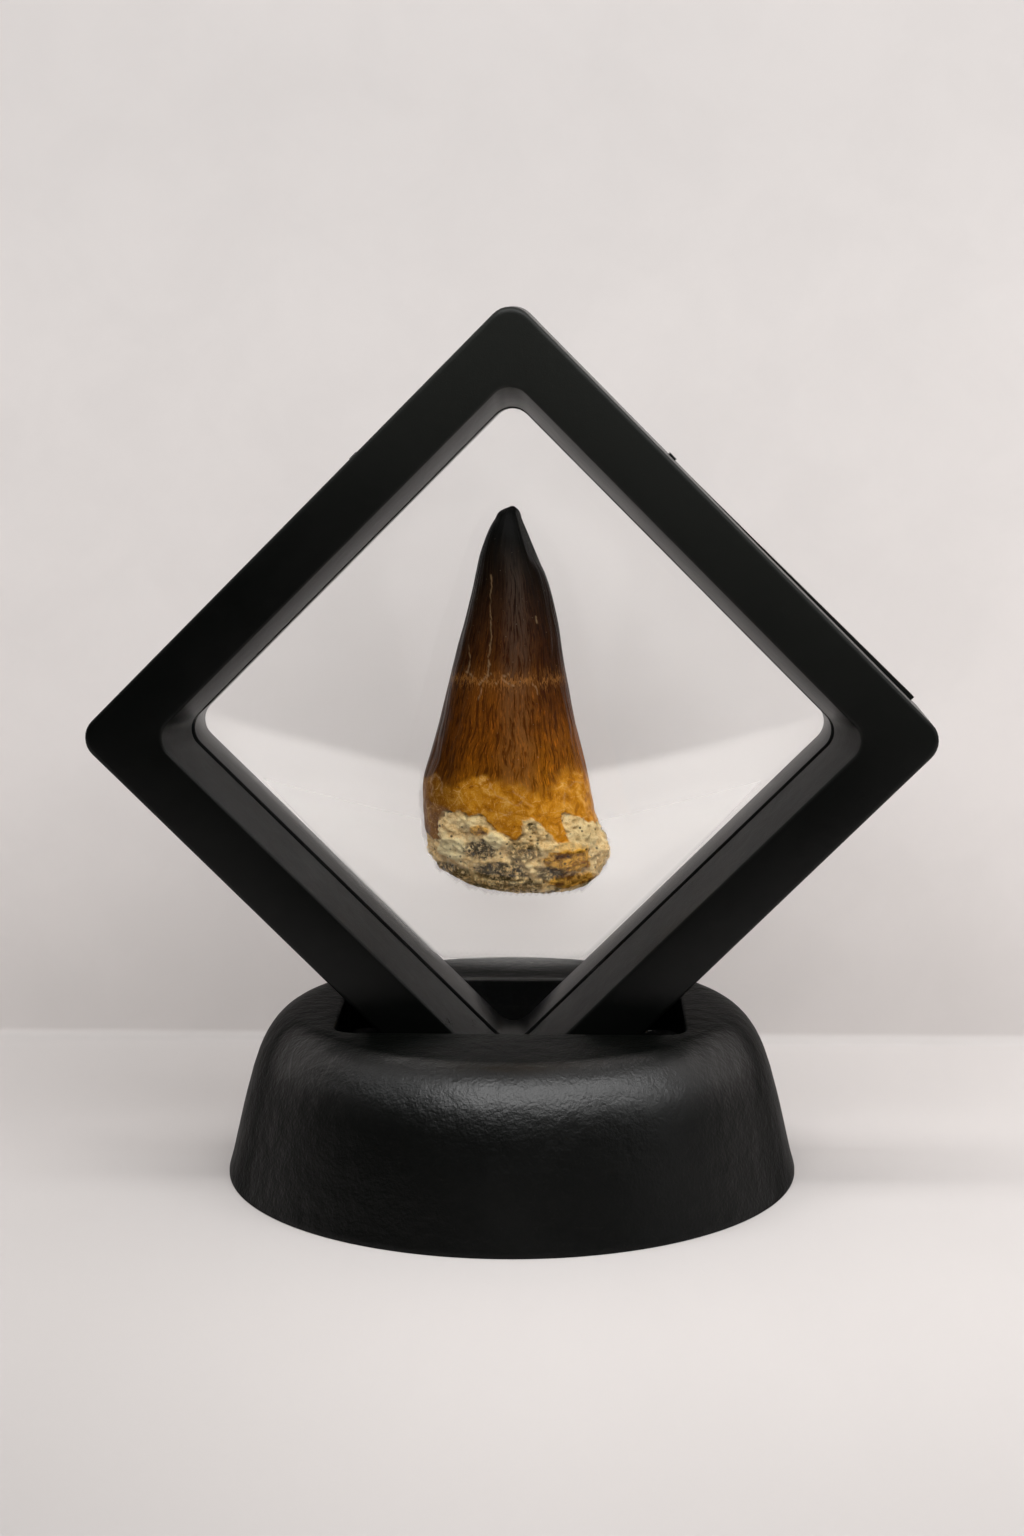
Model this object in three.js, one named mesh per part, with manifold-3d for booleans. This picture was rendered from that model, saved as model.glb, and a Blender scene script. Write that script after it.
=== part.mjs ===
// A fossil mosasaur tooth held between two clear stretched films in a black two-part square frame,
// which stands on one corner in the slot of a round moulded base.
//
// Millimetres, +Z up. The origin is the centre of the base's underside. The frame faces -Y and +Y.

import * as THREE from 'three';
import { mergeVertices } from 'three/addons/utils/BufferGeometryUtils.js';
import Module from 'manifold-3d';

const wasm = await Module();
wasm.setup();

// ---- Driving dimensions -------------------------------------------------------------------------

const FIT_GAP = 0.3;            // clearance left between pieces that touch
const HALF_GAP = FIT_GAP / 2;

// Square frame, standing on a corner.
const FRAME_HALF = 45;          // half of the 90 mm side
const FRAME_HALF_DEPTH = 10;    // half of the 20 mm thickness
const FRAME_CORNER = 3.5;       // outer corner radius in the plane of the frame
const FRAME_CENTRE_Z = 67.1;    // height of the frame's centre above the table
const FACE_FILLET = 0.7;        // rounding of the outer edges
const FILLET_MIDDLE = 0.3;      // a fillet's middle point lies this share of its radius off each face
const OPENING_HALF = 36.95;     // front opening, at the face
const OPENING_FILLET = 0.4;     // rounding where the face turns into the bevel
const BEVEL_END_HALF = 34.7;    // front opening, at the film
const REAR_WALL_HALF = 34.5;    // rear opening, at the film
const REAR_OPENING_HALF = 34.25; // rear opening, at the back face
const OPENING_CORNER = 3.2;     // corner radius of the openings
const CLAMP_HALF = 40.2;        // half-side of the shallow rebate that takes the films' edges
const CLAMP_DEPTH = 0.65;       // depth of that rebate in each half, from the middle plane
const CORNER_STEPS = 6;

// Details on the upper outer edges of the rear half.
const CATCH_FROM_CORNER = 33.2; // along the side, from the sharp top corner
const CATCH = { length: 1.3, proud: 0.35, y0: 3.2, y1: 5.6 };
const LEDGE = { start: -7.5, end: 39.1, proud: 0.7, y0: 3.2, y1: 7.2 }; // a wedge strip, one side only
const STRIP_ROOT = 0.8;         // how far these details run into the wall they stand on

// Films.
const FILM_THICK = 0.2;
const FILM_HALF = CLAMP_HALF - FIT_GAP - 0.4; // half-side of the clamped square of film
const FILM_RISE_HALF = 33.5;    // the film leaves the middle plane inside this square
const FILM_RISE_DIAGONAL = FILM_RISE_HALF * Math.SQRT2;
const FILM_LEAST_RISE = 0.6;    // half-width left to the film's inner columns at the square's corners
const FILM_OVER_TOOTH = 0.7;    // film's inner face above the tooth's mean surface, front and back
const FILM_BESIDE_TOOTH = 0.8;  // the same, at the tooth's sides
const FILM_LEAVES = { upper: 45.9, lower: 3.6 }; // heights on the tooth where the film leaves it
const FILM_TOP_BEARING = 55;    // the bearing narrows no more above this height
const FILM_OFF_CENTRE = 0.25;   // most that the bearing's centre shifts, as a share of the half-width
const FILM_WIDEST_BEARING = 0.62; // most of the half-width that the bearing takes
const FILM_EDGE_ROW = 53;       // outermost row of points above and below the frame's centre

// Tooth, by height above its lowest point: left edge, right edge and half-depth.
const TOOTH_BOTTOM_Z = 43.0;
const TOOTH_STATIONS = [
  // height, left, right, half-depth
  [0.0, -3.0, 9.6, 4.6],
  [0.45, -5.4, 11.0, 6.0],
  [1.4, -7.9, 12.2, 6.9],
  [2.7, -10.0, 13.3, 7.6],
  [4.6, -11.7, 14.3, 8.2],
  [6.4, -12.4, 14.5, 8.5],
  [8.4, -12.9, 14.0, 8.65],
  [10.4, -13.15, 12.9, 8.7],
  [13.2, -13.3, 12.1, 8.65],
  [16.5, -13.1, 11.45, 8.5],
  [20.3, -12.0, 10.6, 8.25],
  [25.8, -10.5, 9.4, 7.7],
  [31.7, -9.15, 8.2, 6.95],
  [36.3, -8.1, 7.4, 6.3],
  [40.0, -7.1, 6.8, 5.7],
  [45.9, -5.7, 5.35, 4.7],
  [51.3, -4.2, 3.2, 3.4],
  [55.4, -2.35, 1.55, 1.95],
  [56.9, -1.15, 0.95, 0.95],
];
const TOOTH_HEIGHT = 57.25;
const TOOTH_TIP = { x: 0.05, radius: 0.35 };
const CROWN = {
  rise: 8,            // height above the crust's edge in which keels and facets come up
  keel: 0.035,        // the two cutting edges, left and right, as a share of the local radius
  keelNarrowness: 14,
  facet: 0.016,       // long shallow facets round the crown, share of the local radius
  facetCount: 11,
  facetTwist: 0.05,   // radians per millimetre of height
  sink: 0.03,         // hollow between the cutting edges
};
const CRUST = {
  top: 11.8,          // mean height of the ragged edge of the matrix crust
  edgeBlur: 0.9,      // half of the step's width at that edge
  lump: 0.07,         // share of the local radius
  sink: 0.005,
  proud: 0.02,        // the crust stands this much over the enamel just above it
  foot: 2.5,          // height of the rounded underside
  footLift: 0.5,      // unevenness of the underside
};
const TOOTH_ROWS = 46;
const TOOTH_SEGMENTS = 44;
const TOOTH_ROW_EASE = 0.38;    // share of the rows' spacing that eases in at both ends
const TOOTH_FOOT_ROWS = { share: 0.45, ramp: 3, power: 0.6 };  // rows crowd together at the foot

// Base.
const BASE_PROFILE = [
  // radius, height of the outer skin, from the table to the flat top
  [43.0, 0], [42.9, 0.5], [41.85, 5], [40.7, 10], [39.65, 14], [38.75, 17], [37.8, 19.5],
  [36.65, 21.5], [35.5, 22.9], [34.2, 23.9], [32.6, 24.5], [30.6, 24.7],
];
const BASE_TOP = 24.7;
const BASE_WALL = 2.4;
const BASE_SEGMENTS = 56;
const RECESS = { halfWidth: 25.7, front: -15.5, rear: 17.5, floor: 16, corner: 3 };
const POCKET_WALL = 2.2;        // wall around the recess and the cradle, inside the hollow base
const CEILING_CHAMFER = 2.2;    // slope between the hollow's wall and its ceiling
const CUT_THROUGH = 1;          // how far a cutting shape runs past the face that it opens
const PROFILE_MARGIN = 1;       // the hollow's wall stops this far below its ceiling
const CRADLE_FIT = FIT_GAP;     // the cradle follows the frame's corner at this distance

// ---- Materials ----------------------------------------------------------------------------------

const frameBlack = new THREE.MeshStandardMaterial({ color: 0x0b0c0c, roughness: 0.45 });
const baseBlack = new THREE.MeshStandardMaterial({ color: 0x0d0e0e, roughness: 0.5 });
const clearFilm = new THREE.MeshStandardMaterial({
  color: 0xf4f6f6, roughness: 0.08, transparent: true, opacity: 0.15,
});
const fossil = new THREE.MeshStandardMaterial({ color: 0x6b3c14, roughness: 0.45 });

// ---- Mesh helpers -------------------------------------------------------------------------------

/** Joins loops of equal length into one closed skin; the ends are fanned shut unless it is a ring. */
function loft(loops, { ring = false } = {}) {
  const count = loops[0].length;
  const positions = loops.flat().flatMap((p) => [p.x, p.y, p.z]);
  const index = [];
  const last = ring ? loops.length : loops.length - 1;
  for (let i = 0; i < last; i++) {
    const a = i * count;
    const b = ((i + 1) % loops.length) * count;
    for (let j = 0; j < count; j++) {
      const k = (j + 1) % count;
      index.push(a + j, a + k, b + k, a + j, b + k, b + j);
    }
  }
  if (!ring) {
    for (const [start, flip] of [[0, true], [(loops.length - 1) * count, false]]) {
      const centre = positions.length / 3;
      const mean = new THREE.Vector3();
      for (let j = 0; j < count; j++) mean.add(loops[start / count][j]);
      mean.divideScalar(count);
      positions.push(mean.x, mean.y, mean.z);
      for (let j = 0; j < count; j++) {
        const k = (j + 1) % count;
        index.push(...(flip ? [centre, start + k, start + j] : [centre, start + j, start + k]));
      }
    }
  }
  const geometry = new THREE.BufferGeometry();
  geometry.setAttribute('position', new THREE.Float32BufferAttribute(positions, 3));
  geometry.setIndex(index);
  return geometry;
}

/** A rounded square in the frame's plane at depth y, turned 45 degrees to stand on its corner. */
function standingSquare(half, corner, y) {
  const loop = [];
  for (let q = 0; q < 4; q++) {
    for (let s = 0; s <= CORNER_STEPS; s++) {
      const angle = (q + s / CORNER_STEPS) * (Math.PI / 2);
      const middle = (q + 0.5) * (Math.PI / 2);
      const toCentre = (half - corner) * Math.SQRT2;
      const u = Math.cos(middle) * toCentre + corner * Math.cos(angle);
      const v = Math.sin(middle) * toCentre + corner * Math.sin(angle);
      loop.push(new THREE.Vector3((u - v) / Math.SQRT2, y, FRAME_CENTRE_Z + (u + v) / Math.SQRT2));
    }
  }
  return loop;
}

/** Merged copy of a geometry with its positions only. */
function bare(geometry) {
  const copy = geometry.index ? geometry.clone() : geometry;
  copy.deleteAttribute('normal');
  copy.deleteAttribute('uv');
  return mergeVertices(copy, 1e-4);
}

function toSolid(geometry) {
  const merged = bare(geometry);
  return new wasm.Manifold(new wasm.Mesh({
    numProp: 3,
    vertProperties: new Float32Array(merged.attributes.position.array),
    triVerts: new Uint32Array(merged.index.array),
  }));
}

function toGeometry(solid) {
  const mesh = solid.getMesh();
  const geometry = new THREE.BufferGeometry();
  geometry.setAttribute('position', new THREE.Float32BufferAttribute(mesh.vertProperties, 3));
  geometry.setIndex(Array.from(mesh.triVerts));
  return geometry;
}

function piece(name, geometry, material) {
  const mesh = new THREE.Mesh(geometry, material);
  mesh.name = name;
  return mesh;
}

// ---- Frame --------------------------------------------------------------------------------------

/** Front half: outer wall, rounded face, bevelled opening and the rebate for the films. */
function frontFrameGeometry() {
  const face = -FRAME_HALF_DEPTH;
  const f = FACE_FILLET;
  const m = f * FILLET_MIDDLE;
  const section = [
    [FRAME_HALF, FRAME_CORNER, -HALF_GAP],
    [FRAME_HALF, FRAME_CORNER, face + f],
    [FRAME_HALF - m, FRAME_CORNER - m, face + m],
    [FRAME_HALF - f, FRAME_CORNER - f, face],
    [OPENING_HALF + OPENING_FILLET, OPENING_CORNER + OPENING_FILLET, face],
    [OPENING_HALF, OPENING_CORNER, face + OPENING_FILLET],
    [BEVEL_END_HALF, OPENING_CORNER, -CLAMP_DEPTH],
    [CLAMP_HALF, OPENING_CORNER, -CLAMP_DEPTH],
    [CLAMP_HALF, OPENING_CORNER, -HALF_GAP],
  ];
  return loft(section.map(([half, corner, y]) => standingSquare(half, corner, y)), { ring: true });
}

/** Rear half: the same outside, with a straight inner wall. */
function rearFrameBody() {
  const back = FRAME_HALF_DEPTH;
  const f = FACE_FILLET;
  const m = f * FILLET_MIDDLE;
  const section = [
    [FRAME_HALF, FRAME_CORNER, HALF_GAP],
    [CLAMP_HALF, OPENING_CORNER, HALF_GAP],
    [CLAMP_HALF, OPENING_CORNER, CLAMP_DEPTH],
    [REAR_WALL_HALF, OPENING_CORNER, CLAMP_DEPTH],
    [REAR_OPENING_HALF, OPENING_CORNER, back - OPENING_FILLET],
    [REAR_OPENING_HALF + OPENING_FILLET, OPENING_CORNER + OPENING_FILLET, back],
    [FRAME_HALF - f, FRAME_CORNER - f, back],
    [FRAME_HALF - m, FRAME_CORNER - m, back - m],
    [FRAME_HALF, FRAME_CORNER, back - f],
  ];
  return loft(section.map(([half, corner, y]) => standingSquare(half, corner, y)), { ring: true });
}

/** A small block or wedge on an upper outer side; `proud` is its height at each end. */
function edgeStrip(side, start, end, proud, y0, y1) {
  const outline = new THREE.Shape([
    new THREE.Vector2(start, -STRIP_ROOT),
    new THREE.Vector2(end, -STRIP_ROOT),
    new THREE.Vector2(end, proud[1]),
    new THREE.Vector2(start, proud[0]),
  ]);
  const geometry = new THREE.ExtrudeGeometry(outline, { depth: y1 - y0, bevelEnabled: false });
  // Outline x runs down the side from its middle and y points out of it.
  const along = new THREE.Vector3(side, 0, -1).normalize();
  const out = new THREE.Vector3(side, 0, 1).normalize();
  const deep = new THREE.Vector3().crossVectors(along, out);
  const origin = out.clone().multiplyScalar(FRAME_HALF);
  origin.add(new THREE.Vector3(0, deep.y > 0 ? y0 : y1, FRAME_CENTRE_Z));
  return geometry.applyMatrix4(new THREE.Matrix4().makeBasis(along, out, deep).setPosition(origin));
}

function rearFrameGeometry() {
  let solid = toSolid(rearFrameBody());
  const catchStart = CATCH_FROM_CORNER - FRAME_HALF - CATCH.length / 2;
  const catchEnd = catchStart + CATCH.length;
  for (const side of [-1, 1]) {
    const nub = edgeStrip(side, catchStart, catchEnd, [CATCH.proud, CATCH.proud], CATCH.y0, CATCH.y1);
    solid = solid.add(toSolid(nub));
  }
  const ledge = edgeStrip(1, LEDGE.start, LEDGE.end, [0, LEDGE.proud], LEDGE.y0, LEDGE.y1);
  return toGeometry(solid.add(toSolid(ledge)));
}

// ---- Tooth --------------------------------------------------------------------------------------

/** Value of one column of the stations at a height, by a Catmull-Rom curve through them. */
function station(column, height) {
  const s = TOOTH_STATIONS;
  if (height <= 0) return s[0][column];
  const { x, radius } = TOOTH_TIP;
  const tip = [TOOTH_HEIGHT, x - radius, x + radius, radius];
  const rows = [s[0], ...s, tip, tip];
  let i = 1;
  while (i < rows.length - 3 && rows[i + 1][0] < height) i++;
  const [p0, p1, p2, p3] = [rows[i - 1], rows[i], rows[i + 1], rows[i + 2]];
  const span = p2[0] - p1[0];
  const t = Math.min(1, (height - p1[0]) / span);
  const slope = (a, b) => (b[0] > a[0] ? (b[column] - a[column]) / (b[0] - a[0]) : 0);
  const m1 = slope(p0, p2) * span;
  const m2 = slope(p1, p3) * span;
  const t2 = t * t;
  const t3 = t2 * t;
  return (2 * t3 - 3 * t2 + 1) * p1[column] + (t3 - 2 * t2 + t) * m1
    + (3 * t2 - 2 * t3) * p2[column] + (t3 - t2) * m2;
}

/** Smooth lumps between -1 and 1 from crossed waves of a few sizes. */
function lumps(x, y, z) {
  const wave = (k, a, b, c) => Math.sin(k * x + a + 1.7 * Math.sin(0.6 * k * z + b))
    * Math.sin(k * y + b + 1.3 * Math.sin(0.7 * k * x + c)) * Math.cos(k * z + c);
  return 0.5 * wave(0.55, 0.4, 1.9, 0.2) + 0.3 * wave(1.05, 2.6, 0.3, 1.4) + 0.2 * wave(1.9, 1.1, 2.2, 0.7);
}

const smoothstep = (a, b, v) => THREE.MathUtils.smoothstep(v, a, b);

/** Ragged height of the crust's edge round the tooth, with one deep tongue of enamel at the front. */
function crustEdge(angle) {
  const tongue = 2.2 * Math.exp(-(((angle - 4.55) / 0.22) ** 2));
  return CRUST.top + 1.6 * Math.sin(2 * angle + 0.7) + 1.1 * Math.sin(5 * angle + 2.1) - tongue;
}

/** A point of the tooth's surface at a height and an angle (0 at +X, 3/2 pi at the front). */
function toothPoint(height, angle) {
  const left = station(1, height);
  const right = station(2, height);
  const cx = (left + right) / 2;
  const x = ((right - left) / 2) * Math.cos(angle);
  const y = station(3, height) * Math.sin(angle);

  const crown = smoothstep(CRUST.top, CRUST.top + CROWN.rise, height);
  const keel = CROWN.keel * Math.abs(Math.cos(angle)) ** CROWN.keelNarrowness;
  const facets = CROWN.facet * Math.cos(CROWN.facetCount * angle + CROWN.facetTwist * height);

  const aboveEdge = smoothstep(-CRUST.edgeBlur, CRUST.edgeBlur, height - crustEdge(angle));
  const crust = 1 - aboveEdge;
  const foot = smoothstep(0, CRUST.foot, height);
  const grain = lumps(cx + x, y, height);
  const relief = (CRUST.lump * grain - CRUST.sink) * (0.35 + 0.65 * foot);

  const scale = 1 + crown * (keel + facets - CROWN.sink) + crust * relief
    - CRUST.proud * aboveEdge * (1 - crown);
  const lift = crust * (1 - foot) * CRUST.footLift * (0.5 + 0.5 * grain);
  return new THREE.Vector3(cx + x * scale, y * scale, TOOTH_BOTTOM_Z + height + lift);
}

/** Height of one row of points, from the foot to the tip. */
function rowHeight(share) {
  const eased = share * share * (3 - 2 * share);
  const { share: least, ramp, power } = TOOTH_FOOT_ROWS;
  const crowding = (least + (1 - least) * Math.min(1, share * ramp)) ** power;
  return TOOTH_HEIGHT * crowding * ((1 - TOOTH_ROW_EASE) * share + TOOTH_ROW_EASE * eased);
}

function toothGeometry() {
  const loops = [];
  for (let i = 0; i <= TOOTH_ROWS; i++) {
    const height = Math.min(TOOTH_HEIGHT, rowHeight(i / TOOTH_ROWS));
    const turn = (j) => (j / TOOTH_SEGMENTS) * 2 * Math.PI;
    loops.push(Array.from({ length: TOOTH_SEGMENTS }, (_, j) => toothPoint(height, turn(j))));
  }
  return loft(loops);
}

// ---- Films --------------------------------------------------------------------------------------

/** Height of the stretched film over the middle plane along the tooth's axis: a taut, hollow-free line. */
function filmRidge(zeta) {
  const edge = FILM_RISE_DIAGONAL;
  const over = (h) => station(3, h) + FILM_OVER_TOOTH;
  const toZeta = (h) => TOOTH_BOTTOM_Z + h - FRAME_CENTRE_Z;
  const { upper, lower } = FILM_LEAVES;
  if (Math.abs(zeta) >= edge) return 0;
  if (zeta > toZeta(upper)) return over(upper) * (edge - zeta) / (edge - toZeta(upper));
  if (zeta < toZeta(lower)) return over(lower) * (edge + zeta) / (edge + toZeta(lower));
  return over(zeta + FRAME_CENTRE_Z - TOOTH_BOTTOM_Z);
}

/** Half-width and centre of what the film bears on at a height, shrinking past the tooth's ends. */
function filmBearing(zeta) {
  const reached = zeta + FRAME_CENTRE_Z - TOOTH_BOTTOM_Z;
  const height = THREE.MathUtils.clamp(reached, FILM_LEAVES.lower, FILM_TOP_BEARING);
  const left = station(1, height);
  const right = station(2, height);
  const room = Math.max(FILM_LEAST_RISE, FILM_RISE_DIAGONAL - Math.abs(zeta));
  const shift = FILM_OFF_CENTRE * room;
  return {
    centre: THREE.MathUtils.clamp((left + right) / 2, -shift, shift),
    half: Math.min((right - left) / 2 + FILM_BESIDE_TOOTH, FILM_WIDEST_BEARING * room),
  };
}

/** Film height at one point: a rounded cap over the tooth, then straight to the clamped edge. */
function filmHeight(x, zeta) {
  const { centre, half } = filmBearing(zeta);
  const ridge = filmRidge(zeta);
  if (ridge <= 0) return 0;
  const room = FILM_RISE_DIAGONAL - Math.abs(zeta);
  const reach = x >= centre ? room - centre : room + centre;
  const t = Math.min(1, Math.abs(x - centre) / reach);
  const t0 = (half / reach) ** 2;
  return t < t0 ? ridge * (1 - (t * t) / (t0 * (2 - t0))) : ridge * (2 / (2 - t0)) * (1 - t);
}

const FILM_ROWS = [
  -FILM_EDGE_ROW, -FILM_RISE_DIAGONAL, -43, -37, -31, -26, -22, -18, -13, -7, -1,
  6, 13, 19, 24, 31, 38, 44, FILM_RISE_DIAGONAL, FILM_EDGE_ROW,
];
const FILM_COLUMNS = [0, 0.35, 0.7, 1];  // across the bearing; then halfway out, the rise line and the edge

function filmGeometry(side) {
  const loops = FILM_ROWS.map((zeta) => {
    const { centre, half } = filmBearing(zeta);
    const rise = Math.max(FILM_LEAST_RISE, FILM_RISE_DIAGONAL - Math.abs(zeta));
    const edge = FILM_HALF * Math.SQRT2 - Math.abs(zeta);
    const bearing = (way) => FILM_COLUMNS.map((c) => centre + way * c * half);
    const right = [...bearing(1), (centre + half + rise) / 2, rise, edge];
    const left = [...bearing(-1), (centre - half - rise) / 2, -rise, -edge];
    const xs = [...left.slice(1).reverse(), ...right];
    const depth = (x, lift) => side * (HALF_GAP + lift + filmHeight(x, zeta));
    const point = (x, lift) => new THREE.Vector3(x, depth(x, lift), FRAME_CENTRE_Z + zeta);
    const outer = xs.map((x) => point(x, FILM_THICK));
    const inner = xs.map((x) => point(x, 0)).reverse();
    return side < 0 ? [...outer, ...inner] : [...inner.reverse(), ...outer.reverse()];
  });
  return loft(loops);
}

// ---- Base ---------------------------------------------------------------------------------------

/** A solid of revolution about Z from [radius, height] points that start and end on the axis. */
function turned(points) {
  const geometry = new THREE.LatheGeometry(points.map(([r, z]) => new THREE.Vector2(r, z)), BASE_SEGMENTS);
  return geometry.rotateX(Math.PI / 2);
}

/** An upright block with rounded corners between two heights, grown by `grow` on every side. */
function recessBlock(grow, floor, top) {
  const w = RECESS.halfWidth + grow;
  const y0 = RECESS.front - grow;
  const y1 = RECESS.rear + grow;
  const r = RECESS.corner + grow;
  const outline = new THREE.Shape();
  outline.moveTo(-w + r, y0);
  outline.lineTo(w - r, y0);
  outline.absarc(w - r, y0 + r, r, -Math.PI / 2, 0);
  outline.absarc(w - r, y1 - r, r, 0, Math.PI / 2);
  outline.absarc(-w + r, y1 - r, r, Math.PI / 2, Math.PI);
  outline.absarc(-w + r, y0 + r, r, Math.PI, 1.5 * Math.PI);
  const settings = { depth: top - floor, bevelEnabled: false, curveSegments: 5 };
  return new THREE.ExtrudeGeometry(outline, settings).translate(0, 0, floor);
}

/** The frame's outline grown by `grow`: it hollows the cradle, and thickened it is the cradle's wall. */
function cradleBlock(grow) {
  const depth = FRAME_HALF_DEPTH + grow;
  const loop = (y) => standingSquare(FRAME_HALF + grow, FRAME_CORNER + grow, y);
  return loft([loop(depth), loop(-depth)]);
}

function below(solid, z) {
  return solid.trimByPlane([0, 0, -1], -z);
}

function baseGeometry() {
  const skin = toSolid(turned([[0, 0], ...BASE_PROFILE, [0, BASE_TOP]]));
  const ceiling = BASE_TOP - BASE_WALL;
  const hollowProfile = BASE_PROFILE.filter(([, z]) => z < ceiling - PROFILE_MARGIN)
    .map(([r, z]) => [r - BASE_WALL, z]);
  const lastRadius = hollowProfile[hollowProfile.length - 1][0];
  const hollow = toSolid(turned([
    [0, -CUT_THROUGH], [hollowProfile[0][0], -CUT_THROUGH], ...hollowProfile,
    [lastRadius - CEILING_CHAMFER, ceiling], [0, ceiling],
  ]));
  const cradleWall = below(toSolid(cradleBlock(CRADLE_FIT + POCKET_WALL)), RECESS.floor);
  const recessWall = toSolid(recessBlock(POCKET_WALL, RECESS.floor - POCKET_WALL, BASE_TOP));
  const pocketWall = recessWall.add(cradleWall);
  const pocket = toSolid(recessBlock(0, RECESS.floor, BASE_TOP + CUT_THROUGH))
    .add(below(toSolid(cradleBlock(CRADLE_FIT)), BASE_TOP));
  return toGeometry(skin.subtract(hollow.subtract(pocketWall)).subtract(pocket));
}

// ---- Assembly -----------------------------------------------------------------------------------

const part = new THREE.Group();
part.add(
  piece('base', baseGeometry(), baseBlack),
  piece('front_frame', frontFrameGeometry(), frameBlack),
  piece('rear_frame', rearFrameGeometry(), frameBlack),
  piece('front_film', filmGeometry(-1), clearFilm),
  piece('rear_film', filmGeometry(1), clearFilm),
  piece('tooth', toothGeometry(), fossil),
);

export default part;
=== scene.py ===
"""A fossil marine reptile's tooth between clear films, in a black square frame on a round base.

The classes hold their sizes in millimetres; the finished meshes are in metres. Z is up and the
frame faces -Y. Every piece rides on the one body, "root".
"""
import logging
import math
from collections.abc import Mapping, Sequence
from dataclasses import dataclass
from enum import Enum
from typing import NamedTuple

import bmesh
import bpy
import numpy as np
from mathutils import Matrix, Vector, noise


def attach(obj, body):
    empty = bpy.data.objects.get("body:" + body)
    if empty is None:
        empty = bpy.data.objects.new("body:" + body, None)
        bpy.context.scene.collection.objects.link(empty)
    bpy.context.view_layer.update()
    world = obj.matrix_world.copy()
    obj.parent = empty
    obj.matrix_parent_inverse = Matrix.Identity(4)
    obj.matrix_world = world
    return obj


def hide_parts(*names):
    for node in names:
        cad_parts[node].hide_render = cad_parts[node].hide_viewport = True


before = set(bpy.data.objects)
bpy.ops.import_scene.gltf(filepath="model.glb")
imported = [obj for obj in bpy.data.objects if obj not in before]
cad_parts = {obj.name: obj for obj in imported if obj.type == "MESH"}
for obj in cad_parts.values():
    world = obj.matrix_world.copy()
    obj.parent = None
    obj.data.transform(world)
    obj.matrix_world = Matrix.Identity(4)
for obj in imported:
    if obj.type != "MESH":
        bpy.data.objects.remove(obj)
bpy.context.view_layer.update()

LOG = logging.getLogger("tooth_stand")
MM = 0.001
ROOT = "root"
HALF_GAP = 0.15          # half of the clearance between touching pieces
FRAME_HALF = 45.0        # half of the frame's outer side
FRAME_DEEP = 10.0        # half of its thickness
FRAME_CENTRE = 67.1      # height of the frame's centre over the table
STAND_UP = Matrix.Rotation(math.radians(90), 4, "X")   # turns the XY plane into the frame's plane

Array = np.ndarray
Colour = tuple[float, float, float]
Edges = list[bmesh.types.BMEdge]
Material = bpy.types.Material
Mesh = bmesh.types.BMesh
Span = tuple[float, float]
Socket = bpy.types.NodeSocket
Value = "Socket | float | Sequence[float]"


class Slot(Enum):
    """Material slots of the record."""

    FOSSIL = "fossil"
    FRAME = "frame_plastic"
    FILM = "clear_film"
    BASE = "base_plastic"


class Side(Enum):
    """The two faces of the frame."""

    FRONT = -1
    REAR = 1


def smooth_step(value: Array | float, low: float, high: float) -> Array | float:
    """Eases from 0 at low to 1 at high.

    Args:
        value: Number or array to ease.
        low: Where the step starts.
        high: Where it ends.

    Returns:
        The eased share, between 0 and 1.
    """
    t = np.clip((value - low) / (high - low), 0.0, 1.0)
    return t * t * (3 - 2 * t)


def toned(colour: Colour, by: float) -> Colour:
    """The colour, that many times as bright."""
    return tuple(by * c for c in colour)


def outward(bm: Mesh) -> None:
    """Turns the faces of a closed mesh outward."""
    bmesh.ops.recalc_face_normals(bm, faces=bm.faces)


def to_object(bm: Mesh, name: str, finish: Material) -> bpy.types.Object:
    """Turns a mesh in millimetres into a smooth object of the scene.

    Args:
        bm: The mesh, which is freed.
        name: The object's name.
        finish: Its material.

    Returns:
        The object.
    """
    bmesh.ops.scale(bm, vec=(MM, MM, MM), verts=bm.verts)
    for face in bm.faces:
        face.smooth = True
    mesh = bpy.data.meshes.new(name)
    bm.to_mesh(mesh)
    bm.free()
    mesh.materials.append(finish)
    made = bpy.data.objects.new(name, mesh)
    bpy.context.scene.collection.objects.link(made)
    return made


def place(bm: Mesh, name: str, slot: Slot, finish: Material,
          stands_for: str | None = None, crease: float = 32.0) -> bpy.types.Object:
    """Turns a mesh in millimetres into a finished piece of the part.

    Args:
        bm: The mesh, which is freed.
        name: The piece's name.
        slot: The record's slot that its finish belongs to; not used.
        finish: Its material.
        stands_for: The CAD node that it replaces, if any.
        crease: Angle in degrees above which an edge stays sharp.

    Returns:
        The new object, riding on the root body.
    """
    piece = to_object(bm, name, finish)
    piece.data.set_sharp_from_angle(angle=math.radians(crease))
    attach(piece, ROOT)
    if stands_for:
        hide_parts(stands_for)
    LOG.info("%s: %d vertices, %d faces", name, len(piece.data.vertices),
             len(piece.data.polygons))
    return piece


def rounded_outline(bm: Mesh, corners: Sequence[bmesh.types.BMVert], radius: float,
                    steps: int) -> Edges:
    """Rounds the corners of a lone flat face and leaves only its outline.

    Args:
        bm: Mesh that holds the face.
        corners: The face's corners.
        radius: Corner radius.
        steps: Segments round each corner.

    Returns:
        The outline's edges.
    """
    others = set(bm.edges) - {e for v in corners for e in v.link_edges}
    bmesh.ops.bevel(bm, geom=corners, offset=radius, offset_type="OFFSET", segments=steps,
                    profile=0.5, affect="VERTICES", material=-1)
    edges = [e for e in bm.edges if e not in others]
    faces = {f for e in edges for f in e.link_faces}
    bmesh.ops.delete(bm, geom=list(faces), context="FACES_ONLY")
    return edges


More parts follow.
